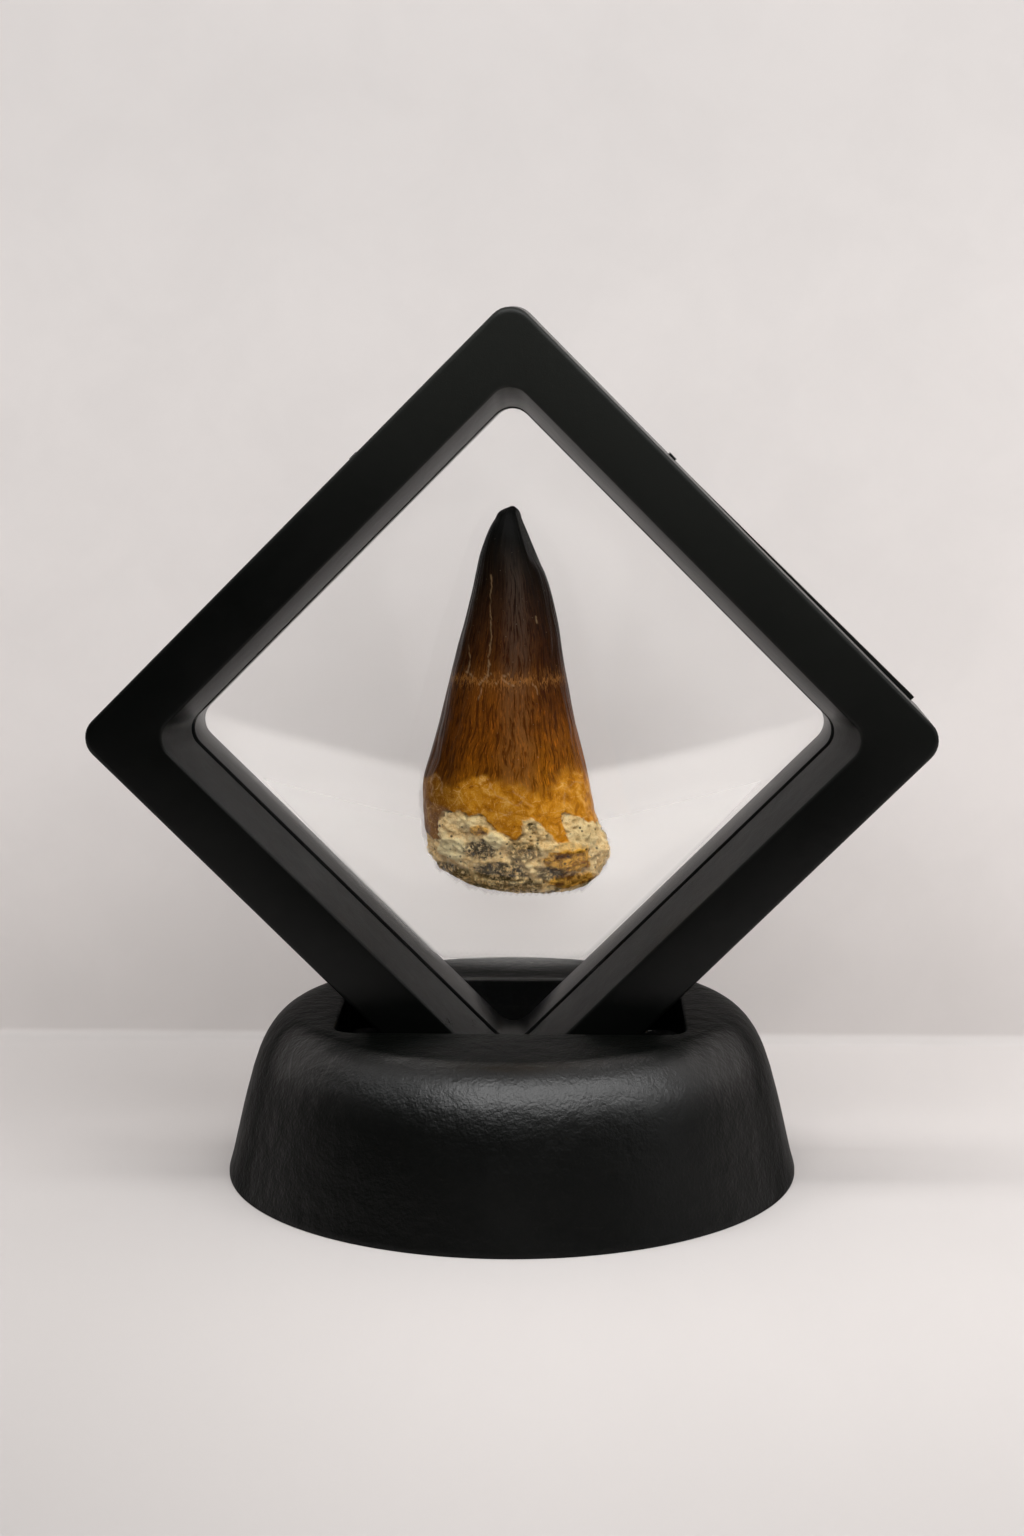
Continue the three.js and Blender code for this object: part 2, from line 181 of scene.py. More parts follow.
def join_loops(bm: Mesh, loops: Sequence[Edges],
               axis: tuple[float, float, float], ring: bool = False) -> None:
    """Joins each loop to the next with faces.

    Meanwhile the loops are drawn apart, so that those in one plane pair up point by point.

    Args:
        bm: Mesh that holds the loops.
        loops: The loops' edges, in order.
        axis: Direction in which they are drawn apart.
        ring: Whether the last is joined to the first as well.
    """
    rows = [list({v for edge in loop for v in edge.verts}) for loop in loops]
    apart = Vector(axis) * 16
    for i, row in enumerate(rows):
        bmesh.ops.translate(bm, vec=apart * i, verts=row)
    for i in range(0 if ring else 1, len(loops)):
        bmesh.ops.bridge_loops(bm, edges=loops[i - 1] + loops[i])
    for i, row in enumerate(rows):
        bmesh.ops.translate(bm, vec=apart * -i, verts=row)


# ---- Finishes ----


class Recipe:
    """The node tree of one material, written down as expressions in millimetres."""

    def __init__(self, name: str) -> None:
        """Starts an empty material of that name.

        Args:
            name: The material's name.
        """
        self.material = bpy.data.materials.new(name)
        self.material.use_nodes = True
        self.tree = self.material.node_tree
        self.tree.nodes.clear()
        self.where = self.node("Mapping", {
            "Vector": self.node("TexCoord").outputs["Object"], "Scale": (1 / MM,) * 3,
        }).outputs["Vector"]

    def node(self, kind: str, inputs: Mapping[str | int, Value] | None = None,
             **settings: object) -> bpy.types.Node:
        """Adds a shader node.

        Args:
            kind: Node type without its "ShaderNode" prefix.
            inputs: Sockets by name or number, each given a value or linked to another socket.
            **settings: Properties of the node, set before its sockets.

        Returns:
            The node.
        """
        made = self.tree.nodes.new("ShaderNode" + kind)
        for key, value in settings.items():
            setattr(made, key, value)
        for key, value in (inputs or {}).items():
            socket = made.inputs[key]
            if isinstance(value, bpy.types.NodeSocket):
                self.tree.links.new(value, socket)
            elif socket.type == "RGBA":
                socket.default_value = (*value, 1.0)
            else:
                socket.default_value = value
        return made

    def math(self, operation: str, first: Value, second: Value = 0.0) -> Socket:
        """Result of one arithmetic operation on two values."""
        return self.node("Math", {0: first, 1: second}, operation=operation).outputs[0]

    def times(self, first: Value, *others: Value) -> Socket:
        """Product of two or more values.

        Args:
            first: A value.
            *others: The values that multiply it.

        Returns:
            The product.
        """
        for other in others:
            first = self.math("MULTIPLY", first, other)
        return first

    def split(self, vector: Socket) -> Sequence[Socket]:
        """The three parts of a vector."""
        return self.node("SeparateXYZ", {0: vector}).outputs

    def painted(self, name: str, output: str = "Vector") -> Socket:
        """What the mesh's own attribute of that name holds at each point."""
        return self.node("Attribute", attribute_name=name).outputs[output]

    def step(self, value: Value, low: float, high: float) -> Socket:
        """Eased step of a value, 0 at low and 1 at high."""
        return self.node("MapRange", {0: value, 1: low, 2: high},
                         interpolation_type="SMOOTHSTEP").outputs[0]

    def noise(self, scale: float, detail: float = 3.0, rough: float = 0.55, warp: float = 0.0,
              where: Socket | None = None) -> Socket:
        """Cloudy value around 0.5.

        Args:
            scale: Features per millimetre.
            detail: How many finer layers it has.
            rough: Strength of each layer against the one before.
            warp: How much it is swirled.
            where: Coordinates, the object's own unless given.

        Returns:
            The value.
        """
        return self.node("TexNoise", {
            "Vector": where or self.where, "Scale": scale, "Detail": detail, "Roughness": rough,
            "Distortion": warp,
        }).outputs["Fac"]

    def mix(self, share: Value, first: Value, second: Value, how: str = "MIX") -> Socket:
        """Colour between two colours."""
        return self.node("MixRGB", {0: share, 1: first, 2: second}, blend_type=how).outputs[0]

    def tint(self, share: Value, colour: Value, by: Colour) -> Socket:
        """Colour multiplied by another, to that share."""
        return self.mix(share, colour, by, "MULTIPLY")

    def blend(self, share: Value, first: Value, second: Value) -> Socket:
        """Number between two numbers."""
        return self.node("MapRange", {0: share, 3: first, 4: second}).outputs[0]

    def ramp(self, value: Value, stops: Sequence[tuple[float, Colour]]) -> Socket:
        """Colour read off a ramp.

        Args:
            value: Where on the ramp, between 0 and 1.
            stops: Up to 32 places and their colours.

        Returns:
            The colour.
        """
        made = self.node("ValToRGB", {0: value})
        elements = made.color_ramp.elements
        while len(elements) < len(stops):
            elements.new(1.0)
        for element, (at, colour) in zip(elements, stops):
            element.position = at
            element.color = (*colour, 1.0)
        return made.outputs[0]

    def bump(self, height: Value, depth: float, under: Socket | None = None) -> Socket:
        """Normal of a relief.

        Args:
            height: The relief, between 0 and 1.
            depth: Its depth in millimetres.
            under: Another relief that it lies on, if any.

        Returns:
            The normal.
        """
        inputs: dict[str | int, Value] = {"Height": height, "Distance": depth * MM}
        if under:
            inputs["Normal"] = under
        return self.node("Bump", inputs).outputs["Normal"]

    def finish(self, **sockets: Value) -> Material:
        """Closes the recipe with a Principled surface.

        Args:
            **sockets: The shader's sockets, with "_" for each space.

        Returns:
            The material.
        """
        shader = self.node("BsdfPrincipled", {k.replace("_", " "): v for k, v in sockets.items()})
        self.node("OutputMaterial", {"Surface": shader.outputs[0]})
        return self.material


@dataclass(frozen=True)
class MouldedPlastic:
    """Black moulded plastic with the fine grain of a spark-eroded mould, and painted light toward
    its top.

    Attributes:
        name: Material name.
        tone: Colour of the plastic.
        worn: Colour of the faint rubbed clouds on it; six times as bright, also the painted light
            toward the top.
        gloss: Roughness, least and most.
        sheen: Strength of its reflections on upright and slanting faces, and at a glance.
        grain: Features of the mould's grain per millimetre.
        depth: Depth of that grain in millimetres.
    """

    name: str
    tone: Colour
    worn: Colour
    gloss: Span
    sheen: tuple[float, float, float]
    grain: float
    depth: float

    def make(self) -> Material:
        """Builds the material.

        Returns:
            The material.
        """
        r = Recipe(self.name)
        clouds = r.noise(0.045, 4, 0.6, 0.6)
        grain = r.noise(self.grain, 2, 0.6)
        specks = r.step(r.noise(self.grain * 1.7, 1), 0.66, 0.78)
        x, _, z = r.split(r.where)
        # Painted light: the plastic turns lighter toward the top and the upper right, as a soft
        # light from there would make it.
        high = r.step(r.math("ADD", z, r.times(x, 0.4)), 70, 132)
        tone = r.mix(r.step(clouds, 0.42, 0.75), self.tone, self.worn)
        tone = r.mix(r.times(specks, 0.5), tone, toned(self.worn, 3))
        tone = r.mix(r.times(high, 0.8), tone, toned(self.worn, 6))
        rough = r.blend(r.times(clouds, r.math("ADD", grain, 0.5)), *self.gloss)
        relief = r.bump(grain, self.depth, r.bump(r.noise(0.3, 2), self.depth * 2.5))
        facing = r.node("LayerWeight", {"Blend": 0.5}).outputs["Facing"]
        lean = r.split(r.node("NewGeometry").outputs["Normal"])[2]
        upright, slant, glance = self.sheen
        sheen = r.blend(r.step(lean, 0.27, 0.5), upright, slant)
        return r.finish(Base_Color=tone, Roughness=rough, Normal=relief, IOR=1.45,
                        Specular_IOR_Level=r.blend(r.step(facing, 0.25, 0.7), sheen, glance))


@dataclass(frozen=True)
class StretchedFilm:
    """Clear elastic film: a faint mirror and a painted reflection of the pale table over a clear
    pass.

    The outer skin carries all of it, so that the inner skin adds nothing. The film's own attribute
    says where the reflection of the pale table is painted on, as a pale matt layer lit by the
    lamps.

    Attributes:
        name: Material name.
        mirror: Share that it mirrors head-on.
        painted_reflection: Colour of the painted reflection of the pale table at its strongest.
    """

    name: str
    mirror: float = 0.035
    painted_reflection: Colour = (0.56, 0.55, 0.535)

    def make(self) -> Material:
        """Builds the material.

        Returns:
            The material.
        """
        r = Recipe(self.name)
        none, full = (0.0, 0.0, 0.0), (1.0, 1.0, 1.0)
        inner = r.node("NewGeometry").outputs["Backfacing"]
        outer = r.math("SUBTRACT", 1.0, inner)
        table_reflection = r.painted("table_reflection", "Fac")
        glance = r.node("LayerWeight", {"Blend": 0.2}).outputs["Fresnel"]
        share = r.times(self.mirror, r.math("ADD", r.times(glance, 2.0), 1.0))
        dim = tuple(1 - self.mirror * k for k in (1.0, 0.95, 0.95))
        clear = r.node("BsdfTransparent", {"Color": r.mix(r.math("MAXIMUM", table_reflection, inner),
                                                          dim, full)})
        gloss = r.node("BsdfGlossy", {"Color": r.mix(r.times(share, outer), none, full),
                                      "Roughness": 0.04})
        # Painted reflection: a pale matt layer, lit by the lamps, laid where the film is painted to
        # show the pale table.
        painted_reflection = r.node("BsdfDiffuse", {"Color": r.mix(r.times(table_reflection, outer), none, self.painted_reflection)})
        both = r.node("AddShader", {0: gloss.outputs[0], 1: painted_reflection.outputs[0]})
        both = r.node("AddShader", {0: clear.outputs[0], 1: both.outputs[0]})
        r.node("OutputMaterial", {"Surface": both.outputs[0]})
        return r.material


@dataclass(frozen=True)
class Fossil:
    """Enamel that runs from black at the tip to amber, an ochre neck and a granular crust.

    The tooth's own attributes say where the crust, the ochre neck, the hollows darkened by painted
    shade and the stains lie, and `fibre` holds coordinates that follow the enamel's grain up to the
    tip.
    """

    foot: float                  # height of the tooth's lowest point
    reach: float                 # its length
    name: str = "fossil_enamel"
    break_height: float = 32.2   # height of the jagged pale crack round the crown
    enamel: tuple[tuple[float, Colour], ...] = (
        (0.0, (0.22, 0.074, 0.003)),
        (0.29, (0.22, 0.074, 0.003)),
        (0.36, (0.155, 0.047, 0.002)),
        (0.44, (0.155, 0.046, 0.003)),
        (0.53, (0.140, 0.043, 0.004)),
        (0.57, (0.115, 0.037, 0.004)),
        (0.61, (0.066, 0.021, 0.003)),
        (0.73, (0.034, 0.013, 0.004)),
        (0.84, (0.012, 0.0065, 0.003)),
        (0.92, (0.003, 0.0027, 0.002)),
        (1.0, (0.002, 0.002, 0.0017)),
    )

    def crown(self, r: Recipe, fibre: Socket, height: Socket) -> Socket:
        """Colour of the crown, with painted shade on its flanks and painted light and sheen down
        its front.

        Args:
            r: The recipe.
            fibre: Coordinates along the enamel's grain.
            height: Height over the foot, in millimetres.

        Returns:
            The colour.
        """
        broad = r.noise(0.33, 4, 0.6, 0.4, fibre)
        fine = r.noise(2.6, 4, 0.62, 0.5, fibre)
        hair = r.noise(6.5, 3, 0.6, 0.3, fibre)
        swing = r.math("ADD", r.times(r.math("SUBTRACT", broad, 0.5), 8.0),
                       r.times(r.math("SUBTRACT", fine, 0.5), 5.0))
        colour = r.ramp(r.math("DIVIDE", r.math("ADD", height, swing), self.reach), self.enamel)
        colour = r.tint(r.times(r.step(fine, 0.55, 0.38), 0.9), colour, (0.32, 0.25, 0.20))
        colour = r.tint(r.times(r.step(hair, 0.52, 0.68), 0.7), colour, (2.5, 2.3, 2.0))
        along, depth, _ = r.split(fibre)
        # Painted shade: the crown's left flank darker, as light falls from the right.
        colour = r.tint(r.step(along, -4.0, -8.6), colour, (0.40, 0.37, 0.34))
        # Painted shade: the right edge of the middle crown darker, offsetting the light of the
        # lamps on the right.
        right = r.times(r.step(along, 3.0, 6.8), r.step(height, 24, 31))
        colour = r.tint(right, colour, (0.50, 0.44, 0.34))
        # Painted light: the middle of the lower crown's front lighter than its edges.
        glow = r.times(r.step(along, -2.5, 2.5), r.step(height, 28, 19))
        colour = r.tint(glow, colour, (1.6, 1.7, 1.5))
        # Painted sheen: a grey-brown highlight band down the front, right of the middle, painted
        # into the colour.
        sheen = r.times(r.step(along, -2.2, 0.8), r.step(along, 4.8, 2.4),
                        r.step(fine, 0.36, 0.56), r.step(depth, 0, -3), r.step(height, 53, 44))
        colour = r.mix(r.times(sheen, 0.38), colour,
                       r.mix(r.step(height, 24, 40), (0.17, 0.085, 0.03), (0.085, 0.06, 0.045)))
        for pitch, reach in ((0.9, 8.0), (1.7, 5.0)):
            ragged = r.times(r.math("SUBTRACT", r.noise(pitch, 5, 0.75, 0, fibre), 0.5), reach)
            off = r.math("ABSOLUTE", r.math("SUBTRACT", height,
                                            r.math("ADD", ragged, self.break_height)))
            line = r.times(r.step(off, 0.20, 0.05), r.step(broad, 0.40, 0.50), 0.6)
            ticks = r.times(r.step(off, 2.2, 0.2), r.step(hair, 0.52, 0.62), 0.35)
            colour = r.mix(r.math("MAXIMUM", line, ticks), colour, (0.36, 0.15, 0.035))
        specks = r.step(r.noise(3.4, 1), 0.77, 0.80)
        return r.mix(r.times(specks, 0.5), colour, (0.30, 0.27, 0.2))

    def neck(self, r: Recipe, cloud: Socket) -> Socket:
        """Ochre of the neck, with pale scratches and dusting, painted shade on its left and painted
        light on its right.

        Args:
            r: The recipe.
            cloud: Cloudy value that varies it.

        Returns:
            The colour.
        """
        gold = r.ramp(cloud, [(0.30, (0.22, 0.07, 0.002)), (0.45, (0.42, 0.155, 0.004)),
                              (0.57, (0.54, 0.23, 0.013)), (0.72, (0.66, 0.36, 0.08))])
        x = r.split(r.where)[0]
        # Painted shade and light: the neck darker on its left and lighter on its right, as light
        # falls from the right.
        gold = r.tint(r.step(x, -5.5, -11.5), gold, (0.46, 0.42, 0.38))
        gold = r.tint(r.step(x, 0, 6), gold, (1.3, 1.3, 1.4))
        drift = r.node("TexNoise", {"Vector": r.where, "Scale": 0.7}).outputs["Color"]
        bent = r.node("VectorMath", {0: r.where, 1: drift}, operation="ADD").outputs[0]
        for scale, width, share in ((0.30, 0.022, 0.42), (0.7, 0.03, 0.2)):
            edge = r.node("TexVoronoi", {"Vector": bent, "Scale": scale},
                          feature="DISTANCE_TO_EDGE").outputs[0]
            line = r.times(r.step(edge, width, 0.0), r.step(cloud, 0.42, 0.55), share)
            gold = r.mix(line, gold, (0.80, 0.52, 0.20))
        return r.mix(r.times(r.step(r.noise(5.0, 2, 0.7), 0.56, 0.68), 0.3), gold,
                     (0.72, 0.45, 0.15))

    def crust(self, r: Recipe, hollow: Socket, stains: Sequence[Socket], cloud: Socket) -> Socket:
        """Granular matrix with its stains and pits, and painted shade in its crevices.

        Args:
            r: The recipe.
            hollow: How deep in a crevice each point lies, which darkens it as painted shade.
            stains: Shares of cream, ochre, and soot that is partly painted shade.
            cloud: Cloudy value that varies the ochre.

        Returns:
            The colour.
        """
        cream, ochre, soot_and_shade = stains
        body = r.noise(0.8, 6, 0.62, 0.4)
        stone = r.ramp(body, [(0.30, (0.46, 0.28, 0.10)), (0.42, (0.82, 0.54, 0.22)),
                              (0.52, (0.97, 0.69, 0.32)), (0.70, (1.0, 0.80, 0.43))])
        stone = r.mix(cream, stone, r.mix(body, (0.98, 0.73, 0.35), (1.0, 0.90, 0.54)))
        rust = r.mix(r.step(cloud, 0.40, 0.60), (0.24, 0.085, 0.003), (0.95, 0.50, 0.07))
        stone = r.mix(r.step(ochre, 0.0, 0.65), stone, rust)
        grain = r.times(r.step(r.noise(4.5, 3, 0.7), 0.46, 0.34), 0.45)
        stone = r.tint(grain, stone, (0.42, 0.34, 0.24))
        # Soot: dark patches, partly stains and partly painted shade under the tooth.
        soot_and_shade_share = r.times(soot_and_shade, r.step(r.noise(1.5, 6, 0.8), 0.42, 0.52), 0.95)
        stone = r.mix(soot_and_shade_share, stone, (0.055, 0.038, 0.012))
        dot = r.node("TexVoronoi", {"Vector": r.where, "Scale": 0.95}).outputs["Distance"]
        dots = r.times(r.step(dot, 0.24, 0.14), r.step(r.noise(0.5, 2), 0.44, 0.54), 0.85)
        stone = r.mix(dots, stone, (0.03, 0.02, 0.01))
        # Painted shade: crevices, holes and the groove under the enamel's edge darkened.
        return r.mix(r.times(hollow, 0.85), stone, (0.10, 0.065, 0.022))

    def make(self) -> Material:
        """Builds the material.

        Returns:
            The material.
        """
        r = Recipe(self.name)
        fibre = r.painted("fibre")
        crust, neck, hollow = r.split(r.painted("zones"))
        stains = r.split(r.painted("stains"))
        height = r.math("SUBTRACT", r.split(r.where)[2], self.foot)
        cloud = r.noise(0.6, 5, 0.65, 0.8)
        colour = r.mix(neck, self.crown(r, fibre, height), self.neck(r, cloud))
        colour = r.mix(r.times(r.painted("lines", "Fac"), 0.38), colour, (0.52, 0.34, 0.17))
        colour = r.mix(crust, colour, self.crust(r, hollow, stains, cloud))

        wrinkles = r.bump(r.noise(2.2, 5, 0.65, 0.5, fibre), 0.07)
        smooth = r.bump(r.noise(1.3, 4, 0.6), 0.10)
        rubble = r.bump(r.noise(4.5, 3, 0.7), 0.12, r.bump(r.noise(1.7, 5, 0.7), 0.34))
        upper = r.node("Mix", {0: neck, 4: wrinkles, 5: smooth}, data_type="VECTOR").outputs[1]
        normal = r.node("Mix", {0: crust, 4: upper, 5: rubble}, data_type="VECTOR").outputs[1]
        enamel = r.blend(r.noise(1.6, 4, 0.7, 0.0, fibre), 0.24, 0.44)
        return r.finish(Base_Color=colour, Roughness=r.blend(crust, enamel, 0.9), Normal=normal,
                        IOR=1.5, Specular_IOR_Level=r.blend(crust, 0.08, 0.05))


# ---- Frame ----


class SectionPoint(NamedTuple):
    """A point of the frame's section: half-side, depth, corner radius and the fillet there."""

    half: float
    depth: float
    corner: float
    fillet: float = 0.0


def rounded_section(points: Sequence[SectionPoint], steps: int = 4) -> list[SectionPoint]:
    """Rounds the filleted points of a closed section.

    Args:
        points: The sharp section.
        steps: Segments of each fillet.

    Returns:
        The section with each filleted point drawn out into its curve.
    """
    rounded = []
    for i, point in enumerate(points):
        if not point.fillet:
            rounded.append(point)
            continue
        here = np.array(point[:3])
        ends = []
        for other in (points[i - 1], points[(i + 1) % len(points)]):
            way = np.array(other[:3]) - here
            ends.append(here + way * point.fillet / np.linalg.norm(way[:2]))
        for t in np.linspace(0, 1, steps + 1):
            middle = (1 - t) ** 2 * ends[0] + 2 * t * (1 - t) * here + t * t * ends[1]
            rounded.append(SectionPoint(*middle))
    return rounded


@dataclass
class DisplayFrame:
    """The two black halves that clamp the films, and the small details of their outer edge.

    Places across the frame are half-sides, measured square to the sides from the centre.
    """

    half: float = FRAME_HALF
    deep: float = FRAME_DEEP
    corner: float = 3.5                 # outer corner radius
    opening: float = 36.95              # front opening, at the face
    bevel_end: float = 34.7             # front opening, at the films
    rear_wall: float = 34.5             # rear opening, at the films
    rear_opening: float = 34.25         # rear opening, at the back
    inner_corner: float = 3.2           # corner radius of the openings
    clamp: float = 40.2                 # the rebate that takes the films' edges
    clamp_depth: float = 0.65
    groove: Span = (41.4, 43.0)         # the front half's groove, along its seam
    groove_depth: float = 0.9
    tongue: Span = (41.65, 42.75)       # the rear half's tongue, which enters the groove
    tongue_rise: float = 0.65
    face_fillet: float = 0.75           # rounding of the outer edges
    opening_fillet: float = 0.4         # of the openings' outer edges
    film_fillet: float = 0.15           # of their edges by the films
    seam_fillet: float = 0.22           # of the seam's edges
    corner_steps: int = 8
    strip_root: float = 0.8             # how far catches and ledge run into the wall
    catch: Span = (-12.45, -11.15)      # where a catch starts and ends down its side
    ledge: Span = (-7.5, 39.1)          # where the ledge does

    def loop(self, bm: Mesh, point: SectionPoint) -> Edges:
        """Adds a rounded square that stands on its corner.

        Args:
            bm: Mesh that takes the loop.
            point: Its half-side, depth and corner radius.

        Returns:
            The loop's edges.
        """
        square = bmesh.ops.create_circle(bm, cap_ends=True, segments=4,
                                         radius=point.half * math.sqrt(2))
        edges = rounded_outline(bm, square["verts"], point.corner, self.corner_steps)
        move = Matrix.Translation((0, point.depth, FRAME_CENTRE)) @ STAND_UP
        verts = list({v for e in edges for v in e.verts})
        bmesh.ops.transform(bm, matrix=move, verts=verts)
        return edges

    def ring(self, *section: tuple[float, ...]) -> Mesh:
        """Closed square ring.

        Args:
            *section: Points of its section: half-side, depth, corner radius and fillet.

        Returns:
            The ring's mesh.
        """
        bm = bmesh.new()
        points = rounded_section([SectionPoint(*point) for point in section])
        join_loops(bm, [self.loop(bm, point) for point in points], (0, 1, 0), ring=True)
        outward(bm)
        return bm

    def front_half(self, finish: Material) -> None:
        """Front half, with the bevelled opening.

        Args:
            finish: Its material.
        """
        inner, clamped, groove = self.inner_corner, -self.clamp_depth, -self.groove_depth
        place(self.ring(
            (self.half, -HALF_GAP, self.corner, self.seam_fillet),
            (self.half, -self.deep, self.corner, self.face_fillet),
            (self.opening, -self.deep, inner, self.opening_fillet),
            (self.bevel_end, clamped, inner, self.film_fillet),
            (self.clamp, clamped, inner),
            (self.clamp, -HALF_GAP, inner),
            (self.groove[0], -HALF_GAP, inner),
            (self.groove[0], groove, inner),
            (self.groove[1], groove, inner),
            (self.groove[1], -HALF_GAP, inner),
        ), "front_half", Slot.FRAME, finish, "front_frame")

    def rear_half(self, finish: Material) -> None:
        """Rear half, with a straight inner wall.

        Args:
            finish: Its material.
        """
        inner, clamped, tongue = self.inner_corner, self.clamp_depth, -self.tongue_rise
        place(self.ring(
            (self.half, HALF_GAP, self.corner, self.seam_fillet),
            (self.tongue[1], HALF_GAP, inner),
            (self.tongue[1], tongue, inner),
            (self.tongue[0], tongue, inner),
            (self.tongue[0], HALF_GAP, inner),
            (self.clamp, HALF_GAP, inner),
            (self.clamp, clamped, inner),
            (self.rear_wall, clamped, inner, self.film_fillet),
            (self.rear_opening, self.deep, inner, self.opening_fillet),
            (self.half, self.deep, self.corner, self.face_fillet),
        ), "rear_half", Slot.FRAME, finish, "rear_frame")

    def strip(self, name: str, side: int, along: Span, proud: Span,
              depths: Span, finish: Material) -> None:
        """Adds a small block or wedge on an upper outer side of the rear half.

        Args:
            name: The piece's name.
            side: -1 for the left side and 1 for the right.
            along: Where it starts and ends, measured down the side from its middle.
            proud: How far it stands out at its start and at its end.
            depths: Its Y extent.
            finish: Its material.
        """
        bm = bmesh.new()
        bmesh.ops.create_cube(bm, size=1.0)
        for vert in bm.verts:
            end = vert.co.x > 0
            vert.co = (along[end], proud[end] if vert.co.z > 0 else -self.strip_root,
                       depths[vert.co.y > 0])
        edges = [e for e in bm.edges if all(v.co.y > -self.strip_root for v in e.verts)]
        bmesh.ops.bevel(bm, geom=edges, offset=0.1, segments=2, profile=0.5, affect="EDGES",
                        material=-1, clamp_overlap=True)
        down, out = Vector((side, 0, -1)).normalized(), Vector((side, 0, 1)).normalized()
        basis = Matrix((down, out, Vector((0, 1, 0)))).transposed().to_4x4()
        start = Matrix.Translation(out * self.half + Vector((0, 0, FRAME_CENTRE)))
        bmesh.ops.transform(bm, matrix=start @ basis, verts=bm.verts)
        outward(bm)
        place(bm, name, Slot.FRAME, finish)

    def build(self, front: Material, rear: Material) -> None:
        """Builds every piece of the frame.

        Args:
            front: Material of the front half.
            rear: Material of the rear half and what is on it.
        """
        self.front_half(front)
        self.rear_half(rear)
        for side, name in ((-1, "rear_catch_left"), (1, "rear_catch_right")):
            self.strip(name, side, self.catch, (0.35, 0.35), (3.2, 5.6), rear)
        self.strip("rear_ledge", 1, self.ledge, (0.02, 0.7), (3.2, 7.2), rear)


# ---- Tooth ----


class Lump(NamedTuple):
    """A named lump or hollow of the crust, by its place on the front of the tooth."""

    x: float
    height: float
    wide: float
    tall: float
    rise: float
    cream: float = 0.0
    ochre: float = 0.0
    soot_and_shade: float = 0.0


